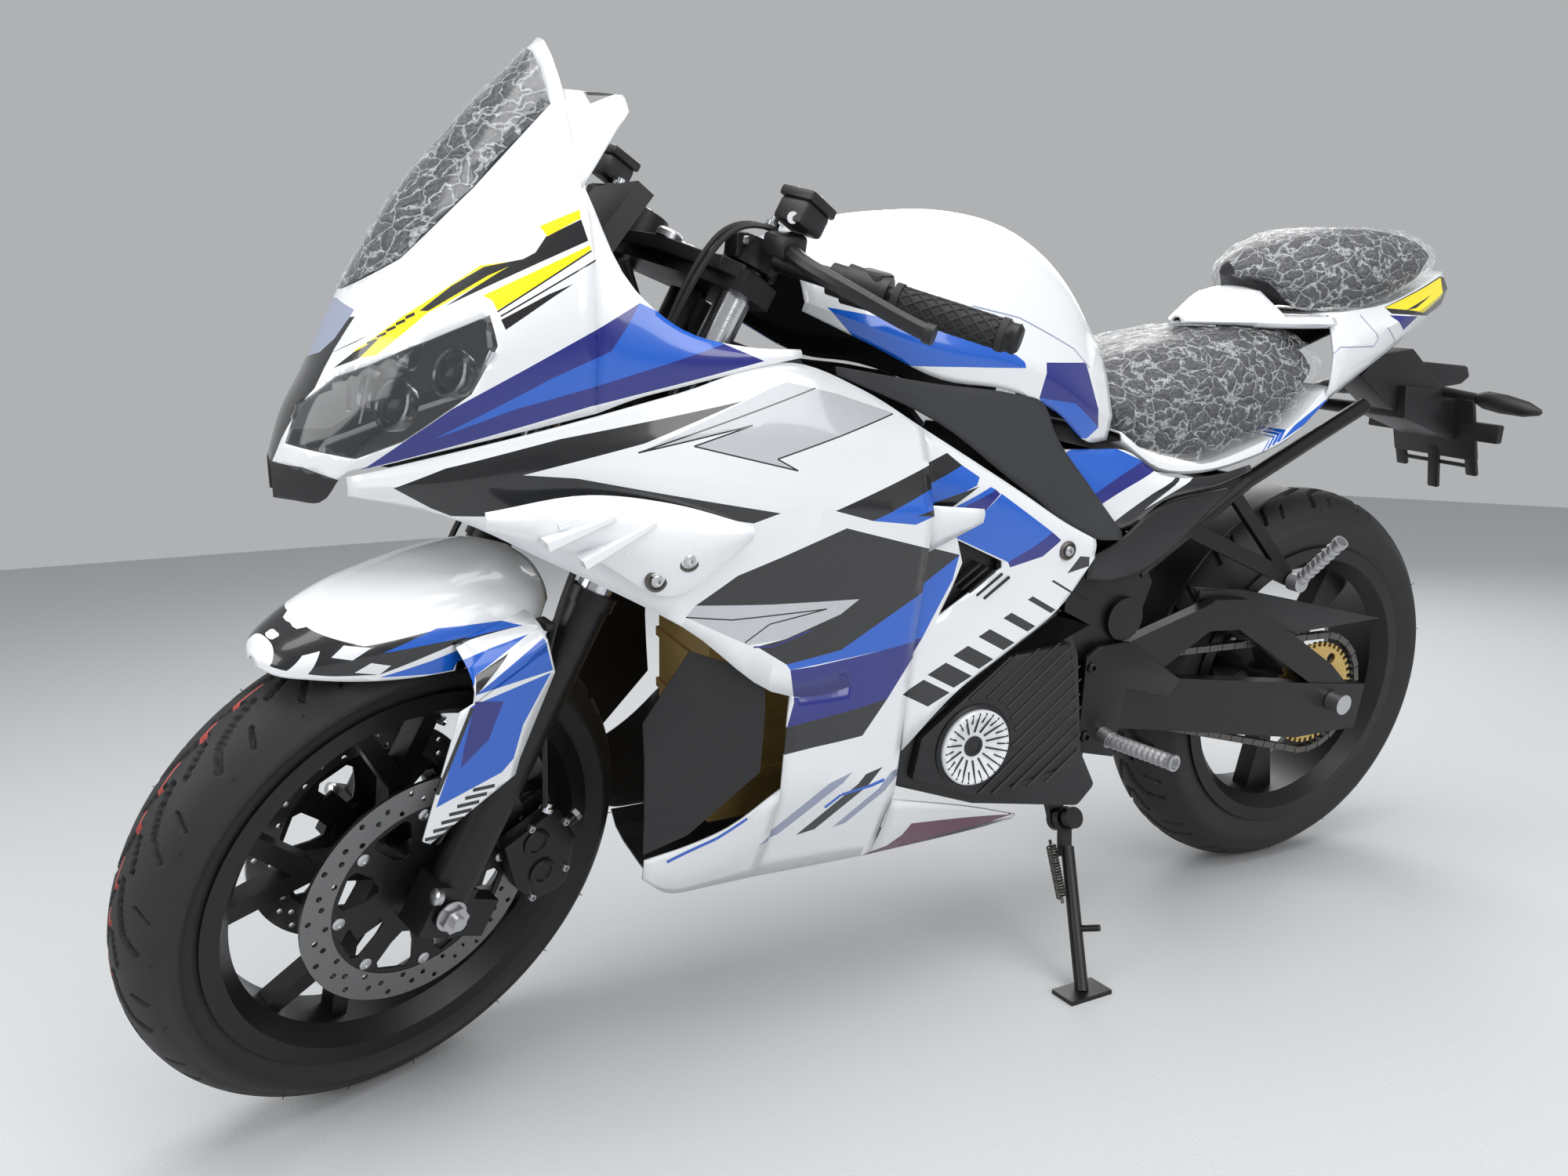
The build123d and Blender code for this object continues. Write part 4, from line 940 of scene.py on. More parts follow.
SEAT_PANEL_BANDS = [
    (IS_BLUE, [(795, 732), (870, 750), (903, 734), (950, 716), (853, 680), (809, 712)]),
    (IS_NAVY, [(853, 680), (950, 716), (975, 703), (865, 665)]),
    (IS_BLACK, [(965, 673), (1011, 691), (1160, 706), (1160, 670), (915, 620), (888, 636)]),
    (IS_WHITE, [(1023, 692), (1056, 694), (953, 653)]),
]

TAIL_BANDS = [
    (IS_BLACK, [(1419, 912), (1588, 958), (1602, 955), (1600, 915), (1547, 899), (1432, 903)]),
    (IS_YELLOW, [(1419, 911), (1588, 956), (1577, 926), (1519, 904), (1479, 908)]),
    (IS_BLACK, [(1467, 908), (1544, 931), (1492, 911)]),
    (IS_NAVY, [(1426, 901), (1501, 899), (1469, 879)]),
    (IS_BLUE, [(1210, 728), (1304, 770), (1304, 785), (1240, 750)]),
]
# painted shade: a grey line where a groove, which the tail shell does not have, would hold shadow
TAIL_BANDS += stroke(IS_GREY, [(1329, 793), (1456, 862), (1417, 884)], 2)
# painted shade: a grey line along the edge of a recess that the tail shell does not have
TAIL_BANDS += stroke(IS_GREY, [(1300, 849), (1314, 857), (1392, 857), (1399, 868), (1363, 901)], 2)
TAIL_BANDS += ladder(IS_BLUE, 4, (1176, 716), (9, 4), (14, 16), (2, 0), (1.4, 0))

FENDER_BANDS = [
    (
        IS_BLACK,
        [(-129, 608), (-99, 621), (-63, 610), (11, 615), (89, 611)]
        + [(37, 602), (-53, 580), (-95, 585), (-138, 592)],
    ),
    (IS_WHITE, [(-131, 588), (-114, 604), (-100, 608), (-114, 587)]),
    (IS_WHITE, [(-93, 603), (-80, 612), (-58, 608), (-76, 599)]),
    (IS_WHITE, [(-75, 586), (-60, 594), (-42, 588), (-53, 580)]),
    (IS_BLUE, [(-49, 602), (7, 616), (89, 611), (38, 603)]),
    (IS_BLUE, [(-53, 577), (-2, 585), (88, 606), (24, 578), (20, 570), (-2, 570)]),
    (IS_BLACK, [(24, 578), (62, 593), (20, 560)]),
    (IS_BLUE, [(20, 561), (100, 603), (112, 563)]),
    (IS_BLUE, [(16, 550), (110, 561), (78, 508), (68, 470), (54, 458), (-22, 444)]),
    (IS_NAVY, [(20, 554), (53, 544), (37, 504), (5, 481), (9, 507)]),
]
FENDER_BANDS += stroke(IS_BLACK, [(17, 548), (-21, 459)], 5)
FENDER_BANDS += ladder(IS_BLACK, 7, (-34, 412), (9, 6.5), (26, -4), (0, -4.5), (0, 0))




def decorate(bm, bands, view=(1, 2)):
    for slot, outline in bands:
        paint(bm, outline, slot, view, only=LIVERY_SLOTS)


def cowl():
    bm = sheet_of(COWL_ROWS, creases=(), long_cuts=5, cross_cuts=5, centred=True)
    face_away(bm, lambda m: (0, m.y + 60, m.z - 60))
    paint(bm, SCREEN_VIEW, FOR_SCREEN)
    paint(bm, LENS_VIEW, FOR_LENS)
    paint(bm, CHIN_VIEW, FOR_CHIN)
    paint(bm, [(-1, 600), (22, 600), (22, 1300), (-1, 1300)], IS_WHITE, (0, 2), only=(FOR_LENS,))
    screen = keep_slot(bm, FOR_SCREEN)
    lens = keep_slot(bm, FOR_LENS)
    chin = keep_slot(bm, FOR_CHIN)
    gone = [f for f in bm.faces if f.material_index >= FOR_SCREEN]
    bmesh.ops.delete(bm, geom=gone, context="FACES")
    edge = sheet_of(COCKPIT_ROWS, long_cuts=5, cross_cuts=4)
    face_away(edge, lambda m: (0, m.y, m.z))
    join(bm, edge)
    wing = sheet_of(WING_ROWS, long_cuts=5, cross_cuts=4)
    face_away(wing, lambda m: (0, m.y, m.z - 40))
    join(bm, wing)
    decorate(bm, COWL_BANDS)
    paint(bm, NOSE_MASK, IS_BLACK, (0, 2), only=LIVERY_SLOTS)
    paint(bm, NOSE_PATCH, IS_GREY, (0, 2), only=LIVERY_SLOTS)
    mirrored(bm)
    piece("upper_cowl_shell", bm, "chassis", LIVERY, wall=3.0, stands_for=["upper_cowl"])
    for part in (screen, lens, chin):
        for face in part.faces:
            face.material_index = 0
    mirrored(screen)
    piece(
        "windscreen_bubble", screen, "chassis", [SCREEN], wall=2.5, stands_for=["windscreen"]
    )
    mirrored(lens)
    piece("headlight_lenses", lens, "chassis", [LENS], wall=2.0, stands_for=["headlight"])
    mirrored(chin)
    piece("chin_panel", chin, "chassis", [PLASTIC], wall=3.0, stands_for=["chin_intake"])


def fairings():
    upper = [(y, points[:4]) for y, points in FAIRING_FRONT[:-1] + FAIRING_MID]
    lower = [(y, points[3:]) for y, points in FAIRING_MID]
    bm = sheet_of(upper, creases=(1, 2), long_cuts=6, cross_cuts=5)
    join(bm, sheet_of(lower, creases=(1,), long_cuts=6, cross_cuts=5))
    join(bm, sheet_of(FAIRING_REAR, long_cuts=6, cross_cuts=3))
    join(bm, sheet_of(FAIRING_TAIL, long_cuts=6, cross_cuts=3))
    join(bm, sheet_of(FAIRING_TOE, long_cuts=4, cross_cuts=3))
    bmesh.ops.remove_doubles(bm, verts=bm.verts[:], dist=0.05)
    decorate(bm, FAIRING_BANDS)
    paint(bm, VENT_VIEW, FOR_VENT, only=LIVERY_SLOTS)
    bmesh.ops.delete(bm, geom=[f for f in bm.faces if f.material_index == FOR_VENT], context="FACES")
    join(bm, sheet_of(BLADE_TIP, long_cuts=4, cross_cuts=3))
    face_away(bm, lambda m: (60, m.y, m.z))
    mirrored(bm)
    piece("side_fairing_panels", bm, "chassis", LIVERY, wall=3.0, stands_for=["side_fairings"])


def tank():
    bm = sheet_of(TANK_ROWS, creases=(1,), long_cuts=5, cross_cuts=5, centred=True)
    face_away(bm, lambda m: (0, m.y, 780))
    decorate(bm, TANK_BANDS)
    mirrored(bm)
    piece("tank_cover_shell", bm, "chassis", LIVERY, wall=4.0, stands_for=["tank_cover"])


def frame_side_covers():
    bm = sheet_of(COVER_ROWS, long_cuts=5, cross_cuts=4)
    face_away(bm, lambda m: (0, m.y, m.z))
    both_sides(bm)
    piece(
        "frame_cover_panels",
        bm,
        "chassis",
        [TWILL, PLASTIC],
        wall=3.0,
        stands_for=["frame_covers"],
    )
    bm = sheet_of(SEAT_PANEL_ROWS, long_cuts=5, cross_cuts=4)
    face_away(bm, lambda m: (0, m.y, m.z))
    decorate(bm, SEAT_PANEL_BANDS)
    both_sides(bm)
    piece("seat_side_panels", bm, "chassis", LIVERY, wall=3.0, stands_for=["seat_panels"])
    bm = sheet_of(SIDE_PANEL_ROWS, long_cuts=5, cross_cuts=4)
    face_away(bm, lambda m: (0, m.y, m.z))
    both_sides(bm)
    piece("side_plates", bm, "chassis", [PLASTIC], wall=3.0, stands_for=["side_panels"])


def tail():
    bm = bmesh.new()
    for rows in (TAIL_FRONT, TAIL_REAR, TAIL_HUMP, TAIL_SHELF):
        part = sheet_of(rows, creases=(2, 3), long_cuts=4, cross_cuts=3, centred=True)
        face_away(part, lambda m: (0, m.y, m.z - 10))
        join(bm, part)
    decorate(bm, TAIL_BANDS)
    mirrored(bm)
    piece("tail_shell", bm, "chassis", LIVERY, wall=3.0, stands_for=["tail_fairing"])


def front_mudguard():
    bm = sheet_of(FENDER_ROWS, creases=(), long_cuts=5, cross_cuts=5, centred=True)
    face_away(bm, lambda m: (0, m.y, 400))
    flare = [
        (20, [(85, 600), (101, 592), (127, 562), (127, 551)]),
        (103, [(85, 618), (101, 616), (127, 600), (127, 588)]),
    ]
    bridge = sheet_of(flare, long_cuts=3, cross_cuts=3)
    face_away(bridge, lambda m: (0, m.y, 300))
    join(bm, bridge)
    leg = bmesh.new()
    leg.faces.new([leg.verts.new((127, y, z)) for y, z in FENDER_LEG])
    face_away(leg, lambda m: (0, m.y, m.z))
    join(bm, leg)
    decorate(bm, FENDER_BANDS)
    mirrored(bm)
    piece(
        "front_mudguard",
        bm,
        "steering",
        LIVERY,
        place=STEERED,
        wall=2.5,
        stands_for=["front_fender"],
    )


cowl()
fairings()
tank()
frame_side_covers()
tail()
front_mudguard()


# Wheels
RIM_FLANGE_R = 231.0
BEAD_R = 217.0
STEPS_PER_PITCH = 54
CROWN_COLUMNS = 44


def groove_depth(u, s, pitch, grooves):
    """Depth of the tread cut at a place u along a pitch and s across the crown."""
    deepest = 0.0
    for line, half, deep in grooves:
        for turn in (-pitch, 0.0, pitch):
            for (u0, s0), (u1, s1) in zip(line, line[1:]):
                run = Vector((u1 - u0, s1 - s0))
                reach = Vector((u - turn - u0, s - s0))
                t = max(0.0, min(1.0, reach.dot(run) / run.length_squared))
                away = (reach - run * t).length
                if away < half * 1.25:
                    edge = min(1.0, (half * 1.25 - away) / (half * 0.5))
                    deepest = max(deepest, deep * edge)
    return deepest


def tyre(name, body, axle, radius, width, crown, place, pitches, grooves, line_column=None):
    half = width / 2
    pitch = math.tau * radius / pitches
    both = grooves + [([(u + pitch / 2, -s) for u, s in line], wide, deep) for line, wide, deep in grooves]
    side = []
    edge_x = crown * math.sin(math.radians(50))
    edge_r = radius - crown + crown * math.cos(math.radians(50))
    bead_x = half - 11
    lower = [(edge_x, edge_r), (half, edge_r - 20)]
    lower += [(half - 4, RIM_FLANGE_R + 16), (bead_x, RIM_FLANGE_R + 0.6)]
    for p in flow([(x, r, 0) for x, r in lower], 6)[1:]:
        side.append((p.x, p.y))
    side += [(bead_x, BEAD_R + 0.8), (bead_x - 9, BEAD_R + 0.8)]
    crown_line = []
    for k in range(CROWN_COLUMNS + 1):
        turn = math.radians(50 - 100 * k / CROWN_COLUMNS)
        crown_line.append((crown * math.sin(turn), crown * turn, turn))
    cuts = []
    for j in range(STEPS_PER_PITCH):
        u = pitch * j / STEPS_PER_PITCH
        cuts.append([groove_depth(u, s, pitch, both) for x, s, turn in crown_line])
    bm = bmesh.new()
    rings = []
    steps = STEPS_PER_PITCH * pitches
    for i in range(steps):
        angle = math.tau * i / steps
        out = Vector((0, math.cos(angle), math.sin(angle)))
        ring = [bm.verts.new(axle + out * r + SIDEWAYS * x) for x, r in reversed(side)]
        for (x, s, turn), deep in zip(crown_line, cuts[i % STEPS_PER_PITCH]):
            reach = radius - crown + (crown - deep) * math.cos(turn)
            ring.append(bm.verts.new(axle + out * reach + SIDEWAYS * (crown - deep) * math.sin(turn)))
        ring += [bm.verts.new(axle + out * r - SIDEWAYS * x) for x, r in side]
        rings.append(ring)
    middle = len(side) + CROWN_COLUMNS // 2
    for i, ring in enumerate(rings):
        following = rings[(i + 1) % steps]
        for k in range(len(ring) - 1):
            face = bm.faces.new((ring[k], ring[k + 1], following[k + 1], following[k]))
            if line_column is not None and k == middle + line_column:
                face.material_index = 1
    bm.normal_update()
    for k in range(pitches * 2):
        angle = math.tau * (k * 0.5 + 0.13 * (k % 3)) / pitches
        out = Vector((0, math.cos(angle), math.sin(angle)))
        foot = axle + out * (edge_r - 1) + SIDEWAYS * (edge_x * (1 if k % 2 else -1))
        rod(bm, foot, foot + out * 5 + SIDEWAYS * (2 if k % 2 else -2), 0.8, 0.4, 5)
    piece(name, bm, body, [TYRE, TREAD_LINE], place, [name.replace("_tread", "_tyre")], 28)


FRONT_GROOVES = [
    ([(0, 4), (26, 10), (52, 20), (68, 36)], 3.0, 4.5),
    ([(58, 3), (76, 9), (92, 13)], 2.2, 4.0),
    ([(18, 28), (30, 44)], 1.8, 3.5),
]
REAR_GROOVES = [
    ([(0, 6), (26, 14), (50, 28), (64, 52)], 3.6, 5.5),
    ([(52, 4), (74, 12), (94, 18)], 2.6, 5.0),
    ([(14, 34), (28, 56)], 2.2, 4.0),
]
tyre("front_tread", "front_wheel", FRONT_AXLE, 293.0, 110.0, 58.0, STEERED, 18, FRONT_GROOVES, 3)
tyre("rear_tread", "rear_wheel", REAR_AXLE, 314.0, 140.0, 72.0, BIKE, 18, REAR_GROOVES)


def ring_points(middle, radius, count, start=0.0):
    turns = [start + math.tau * k / count for k in range(count)]
    return [(middle[0] + radius * math.cos(t), middle[1] + radius * math.sin(t)) for t in turns]


def pierced_plate(bm, axle, x_low, x_high, loops, slot=0):
    """Flat plate across the axle with an outline and holes, each a closed loop of (y, z)."""
    made = bmesh.new()
    edges = []
    for loop in loops:
        edges += chain_of(made, [(x_low, axle.y + y, axle.z + z) for y, z in loop], closed=True)
    bmesh.ops.triangle_fill(made, use_beauty=True, use_dissolve=False, edges=edges)
    raised = bmesh.ops.extrude_face_region(made, geom=made.faces[:])["geom"]
    tops = [v for v in raised if isinstance(v, bmesh.types.BMVert)]
    bmesh.ops.translate(made, vec=(x_high - x_low, 0, 0), verts=tops)
    bmesh.ops.recalc_face_normals(made, faces=made.faces[:])
    for face in made.faces:
        face.material_index = slot
    join(bm, made)


def drilled_ring(bm, axle, x_middle, outer, inner, rows):
    """Brake ring with groups of drilled holes on slanted lines."""
    loops = [ring_points((0, 0), outer, 96), ring_points((0, 0), inner, 72)]
    holes = 4
    for k in range(rows):
        for j in range(holes):
            row = (j * 2) % holes + (j >= holes / 2) * 1.0
            reach = inner + 6 + (outer - inner - 11) * row / (holes - 0.5)
            angle = math.tau * (k + j / holes) / rows
            loops.append(ring_points((reach * math.cos(angle), reach * math.sin(angle)), 3.4, 8))
    pierced_plate(bm, axle, x_middle - 2, x_middle + 2, loops)


def carrier(bm, axle, x_low, x_high, outer, hub, arms, slot=0):
    """Black carrier with rounded openings between its arms."""
    loops = [ring_points((0, 0), outer, 72), ring_points((0, 0), hub - 8, 36)]
    for k in range(arms):
        angle = math.tau * (k + 0.5) / arms
        opening = []
        for reach, spread in ((hub + 8, 0.10), (hub + 22, 0.20), (outer - 16, 0.24), (outer - 9, 0.17)):
            opening.append((reach, spread))
        left = [(r * math.cos(angle - s), r * math.sin(angle - s)) for r, s in opening]
        right = [(r * math.cos(angle + s), r * math.sin(angle + s)) for r, s in reversed(opening)]
        loops.append(left + right)
    pierced_plate(bm, axle, x_low, x_high, loops, slot)


def front_brake():
    for name, sign in (("left", 1), ("right", -1)):
        bm = bmesh.new()
        drilled_ring(bm, FRONT_AXLE, sign * 64, 139, 106, 14)
        stands = ["front_discs"]
        piece("front_disc_" + name, bm, "front_wheel", [FRONT_DISC_STEEL], STEERED, stands)
    bm = bmesh.new()
    for sign in (1, -1):
        low, high = sorted((sign * 62.6, sign * 65.4))
        carrier(bm, FRONT_AXLE, low, high, 110, 46, 8, 0)
        for k in range(8):
            angle = math.tau * k / 8
            spot = FRONT_AXLE + Vector((sign * 65, 98 * math.cos(angle), 98 * math.sin(angle)))
            lathe(bm, [(7, -2), (7, 2), (3.5, 3.4), (2.5, 2), (0, 2)], spot, (sign, 0, 0), 14, 1)
    piece("disc_carriers", bm, "front_wheel", [DARK_METAL, STEEL], STEERED)
    bm = bmesh.new()
    drilled_ring(bm, REAR_AXLE, -85, 110, 84, 12)
    piece("rear_drilled_disc", bm, "rear_wheel", [REAR_DISC_STEEL], BIKE, ["rear_disc"])
    bm = bmesh.new()
    carrier(bm, REAR_AXLE, -86.4, -83.6, 88, 46, 6)
    piece("rear_disc_carrier", bm, "rear_wheel", [DARK_METAL], BIKE)


CALIPER_VIEW = [(84, 326), (146, 350), (158, 350), (184, 300), (175, 240), (166, 236), (128, 230), (102, 262)]


def front_calipers():
    bm = bmesh.new()
    for x_low, x_high in ((42, 54), (74, 94)):
        slab(bm, CALIPER_VIEW, x_low, x_high, 0, 3.0)
    slab(bm, [(150, 348), (158, 348), (184, 300), (176, 242), (168, 244), (174, 300)], 44, 92, 0, 2.0)
    for y, z in ((126, 318), (136, 272)):
        lathe(bm, [(17, 0), (17, 5), (14, 7), (12, 7), (11, 5), (0, 5)], (92, y, z), SIDEWAYS, 28, 0)
    for y, z in ((118, 340), (166, 330), (170, 262), (124, 240)):
        socket_screw(bm, (93, y, z), SIDEWAYS, 5, 5, 1)
    rod(bm, (80, 178, 312), (80, 196, 322), 6, sides=14)
    hex_nut(bm, (80, 190, 320), (0, 0.87, 0.5), 8, 6, 1)
    both_sides(bm)
    piece("front_calipers", bm, "steering", [DARK_METAL, STEEL], STEERED, ["calipers"])
    bm = bmesh.new()
    for sign in (1, -1):
        hex_nut(bm, (sign * 125, 0, 293), (sign, 0, 0), 16, 9, 0)
        lathe(bm, [(18, 0), (18, 2), (13, 3), (0, 3)], (sign * 122.4, 0, 293), (sign, 0, 0), 24, 0)
        rod(bm, (sign * 120, 0, 293), (sign * 141, 0, 293), 8, sides=18)
    for sign in (1, -1):
        lathe(bm, [(9, 0), (9, 6), (6, 8), (0, 8)], (sign * 119, -12, 322), (0, -0.9, 0.4), 14, 0)
    rod(bm, (-125, 0, 293), (125, 0, 293), 10, sides=18)
    piece("front_axle_and_nuts", bm, "steering", [STEEL], STEERED, ["front_axle"])


front_brake()
front_calipers()


# Fairing details
def wedge(bm, base, top, out, thick, slot=0):
    """Raised fin from a base point to a top one, taller at its base."""
    base, top = Vector(base), Vector(top)
    along = (top - base).normalized()
    across = along.cross(SIDEWAYS).normalized() * thick / 2
    lift_base, lift_top = SIDEWAYS * out[0], SIDEWAYS * out[1]
    corners = [base - across, base + across, top + across * 0.4, top - across * 0.4]
    corners += [c + lift for c, lift in zip(corners, (lift_base, lift_base, lift_top, lift_top))]
    verts = [bm.verts.new(c) for c in corners]
    made = []
    for ring in ((0, 1, 2, 3), (4, 5, 6, 7), (0, 1, 5, 4), (1, 2, 6, 5), (2, 3, 7, 6), (3, 0, 4, 7)):
        made.append(bm.faces.new([verts[i] for i in ring]))
    for face in made:
        face.material_index = slot
    bmesh.ops.recalc_face_normals(bm, faces=made)


def winglet_panels():
    bm = sheet_of(WINGLET, long_cuts=6, cross_cuts=5)
    face_away(bm, lambda m: (100, m.y, m.z))
    for base, top in (((203, 134, 692), (208, 206, 712)), ((206, 168, 672), (212, 246, 704))):
        wedge(bm, base, top, (26, 6), 9)
    for base, top in (((201, 150, 706), (206, 190, 716)), ((206, 214, 676), (210, 264, 690))):
        wedge(bm, base, top, (9, 3), 6)
    both_sides(bm)
    piece(
        "winglet_panels",
        bm,
        "chassis",
        [WHITE],
        wall=7.0,
        stands_for=["winglets"],
        round_off=1.2,
    )
    bm = bmesh.new()
    for x, y, z in ((219, 279, 664), (214, 246, 645), (193, 786, 624), (152, 880, 632), (131, 925, 575)):
        lathe(bm, [(12, -1), (12, 1), (9, 2.2), (8, 0.5), (0, 0.5)], (x, y, z), SIDEWAYS, 20, 1)
        socket_screw(bm, (x + 1, y, z), SIDEWAYS, 6.5, 4, 0)
    both_sides(bm)
    piece("panel_screws", bm, "chassis", [STEEL, DARK_STEEL])
    bm = bmesh.new()
    for k in range(5):
        base = Vector((186, 622 + 11 * k, 596 - 9 * k + 4 * k))
        beam(bm, base, base + Vector((2, 34, 24)), 16, 3, 0, 0.6)
    slab(bm, [(606, 655), (690, 622), (690, 606), (600, 552), (612, 596)], 176, 180)
    both_sides(bm)
    piece("side_vent_fins", bm, "chassis", [PLASTIC])


RIB_WAY = Vector((0, 0.80, 0.60))
RIB_ACROSS = Vector((0, 0.60, -0.80))
RIB_ZONE = [(612, 394), (735, 492), (822, 500), (846, 470), (858, 372)]
RIB_ZONE += [(862, 322), (800, 302), (700, 302), (606, 342)]
DISC_SPOT = Vector((172.5, 682, 376))


def motor_cover():
    bm = bmesh.new()
    outline = [(829, 525), (853, 469), (874, 331), (905, 275), (877, 247), (700, 285), (581, 332)]
    outline += [(562, 359), (590, 425), (700, 500), (780, 548)]
    slab(bm, outline, 124, 158, 0, 7.0)
    dome = [(828, 494), (856, 352), (850, 318), (700, 300), (594, 344), (604, 398), (730, 488)]
    slab(bm, dome, 150, 171, 0, 6.0)
    lip = [(829, 525), (812, 534), (700, 470), (606, 404), (600, 420), (700, 494), (780, 542)]
    slab(bm, lip, 156, 164, 0, 2.5)
    for k in range(14):
        start = Vector((171, 598, 404)) + RIB_ACROSS * 17 * k
        inside_run = None
        for j in range(90):
            spot = start + RIB_WAY * 4 * j
            free = inside(spot.y, spot.z, RIB_ZONE) and (spot - DISC_SPOT).length > 62
            if free and inside_run is None:
                inside_run = spot
            if not free and inside_run is not None:
                if (spot - inside_run).length > 24:
                    rod(bm, inside_run, spot - RIB_WAY * 6, 2.4, 1.2, 10)
                inside_run = None
    both_sides(bm)
    piece("motor_cover_shell", bm, "chassis", [PLASTIC], stands_for=["motor_covers"])
    bm = bmesh.new()
    profile = [(50, -3), (50, 6), (48, 8.5), (44, 9), (36, 5), (20, -0.5), (13, -1), (13, 0), (0, 0)]
    lathe(bm, profile, DISC_SPOT, SIDEWAYS, 56, 0)
    lathe(bm, [(13.5, -0.4), (13.5, 0.8), (9, 1.2), (9, 0.4), (0, 0.4)], DISC_SPOT, SIDEWAYS, 28, 1)
    lathe(bm, [(56, -3), (56, 1), (53, 4), (51, 3), (51, -3)], DISC_SPOT, SIDEWAYS, 56, 1)
    for k in range(28):
        angle = math.tau * k / 28
        out = Vector((0, math.cos(angle), math.sin(angle)))
        near, drop = (19, 0.6) if k % 2 else (33, 4.4)
        foot = DISC_SPOT + out * near + SIDEWAYS * drop
        beam(bm, foot, DISC_SPOT + out * 47 + SIDEWAYS * 9.2, 1.4, 1.8, 1, 0)
    both_sides(bm)
    piece("fluted_discs", bm, "chassis", [WHITE, PLASTIC], stands_for=["cover_discs"])


# Drive
CHAIN_STEP = 12.7
FRONT_SPROCKET = (905.0, 395.0, 28.0)
REAR_PITCH_R = 84.0 + 5.5 + 6.0


def chain_route():
    """Place and direction of every link round both sprockets."""
    y1, z1, r1 = FRONT_SPROCKET
    r1 += 6.0
    y2, z2, r2 = WHEELBASE, REAR_R, REAR_PITCH_R
    reach = math.hypot(y2 - y1, z2 - z1)
    line = math.atan2(z2 - z1, y2 - y1)
    spread = math.acos((r1 - r2) / reach)
    up, down = line + spread, line - spread
    straight = math.sqrt(reach * reach - (r1 - r2) ** 2)
    back_turn = math.tau - (up - down)
    runs = [straight, r2 * (up - down), straight, r1 * back_turn]
    total = sum(runs)
    count = int(total / CHAIN_STEP / 2) * 2
    route = []
    for k in range(count):
        s = total * k / count
        if s < runs[0]:
            way = up - math.pi / 2
            y = y1 + r1 * math.cos(up) + s * math.cos(way)
            z = z1 + r1 * math.sin(up) + s * math.sin(way)
        elif s < runs[0] + runs[1]:
            turn = up - (s - runs[0]) / r2
            way = turn - math.pi / 2
            y, z = y2 + r2 * math.cos(turn), z2 + r2 * math.sin(turn)
        elif s < runs[0] + runs[1] + runs[2]:
            way = down - math.pi / 2
            gone = s - runs[0] - runs[1]
            y = y2 + r2 * math.cos(down) + gone * math.cos(way)
            z = z2 + r2 * math.sin(down) + gone * math.sin(way)
        else:
            turn = down - (s - total + runs[3]) / r1
            way = turn - math.pi / 2
            y, z = y1 + r1 * math.cos(turn), z1 + r1 * math.sin(turn)
        route.append((y, z, way))
    return route


def drive_chain():
    bm = bmesh.new()
    for k, (y, z, way) in enumerate(chain_route()):
        spot = Vector((88, y, z))
        along = Vector((0, math.cos(way), math.sin(way)))
        half = along * CHAIN_STEP / 2
        rod(bm, spot - SIDEWAYS * 6, spot + SIDEWAYS * 6, 3.6, sides=8)
        wide = 4.2 if k % 2 else 5.6
        for sign in (1, -1):
            outer = spot + half + SIDEWAYS * sign * wide
            beam(bm, outer - half * 1.9, outer + half * 1.9, 1.3, 9.5, 0, 0)
    piece("chain_links", bm, "chassis", [DARK_STEEL], stands_for=["chain"])


def guard_and_shock():
    bm = bmesh.new()
    blade = [(1105, 520), (1200, 508), (1522, 427), (1330, 425), (1200, 462), (1120, 490)]
    slab(bm, blade, 96, 101, 0, 1.2)
    slab(bm, [(1110, 516), (1160, 512), (1160, 500), (1110, 504)], 96, 106, 0, 1.0)
    piece("chain_guard_blade", bm, "chassis", [PLASTIC], stands_for=["chain_guards"])
    bm = bmesh.new()
    low, high = Vector((0, 1010, 500)), Vector((0, 985, 612))
    coil = []
    stand = turned_to(high - low, low)
    for k in range(121):
        turn = math.tau * 7.5 * k / 120
        coil.append(stand @ Vector((21 * math.cos(turn), 21 * math.sin(turn), (high - low).length * k / 120)))
    hose(bm, coil, 4.2, 0, 3, 8)
    rod(bm, (0, 1046, 420), low, 12)
    rod(bm, low, high, 12)
    rod(bm, high, (0, 979, 643), 13)
    rod(bm, low, low + (high - low) * 0.05, 26)
    rod(bm, high - (high - low) * 0.05, high, 26)
    piece("shock_and_spring", bm, "chassis", [DARK_METAL], stands_for=["shock"])


# Footrests and stand
def grooved_peg(bm, start, end, radius, turns):
    """Silver peg with rows of small ridges along its top and front."""
    start, end = Vector(start), Vector(end)
    along = (end - start).normalized()
    rod(bm, start, end, radius * 0.78, sides=16)
    rod(bm, end - along * 6, end, radius, sides=16)
    for k in range(turns):
        foot = start + (end - start) * (k + 0.5) / turns
        rod(bm, foot - along * 2.2, foot + along * 2.2, radius, radius * 0.92, 12)


def rider_footrests():
    bm = bmesh.new()
    heel = [(884, 455), (905, 468), (960, 468), (1060, 400), (1040, 375), (960, 400), (950, 300), (884, 318)]
    slab(bm, heel, 130, 137, 1, 2.0)
    rod(bm, (135, 925, 338), (152, 927, 335), 12)
    grooved_peg(bm, (150, 927, 335), (258, 940, 342), 11, 12)
    for z in (340, 440):
        socket_screw(bm, (137, 894, z), SIDEWAYS, 8, 5, 1)
    both_sides(bm)
    piece("rider_footrests", bm, "chassis", [CAST, DARK_METAL], stands_for=["footrests"])
    bm = bmesh.new()
    rod(bm, (146, 1246, 528), (164, 1246, 528), 13)
    grooved_peg(bm, (156, 1246, 528), (222, 1240, 604), 10, 9)
    both_sides(bm)
    piece("passenger_footrests", bm, "chassis", [CAST], stands_for=["pillion_footrests"])


STAND_PIVOT = Vector((126, 883, 214))
STAND_DOWN = Vector((0.602, -0.285, -0.749)).normalized()


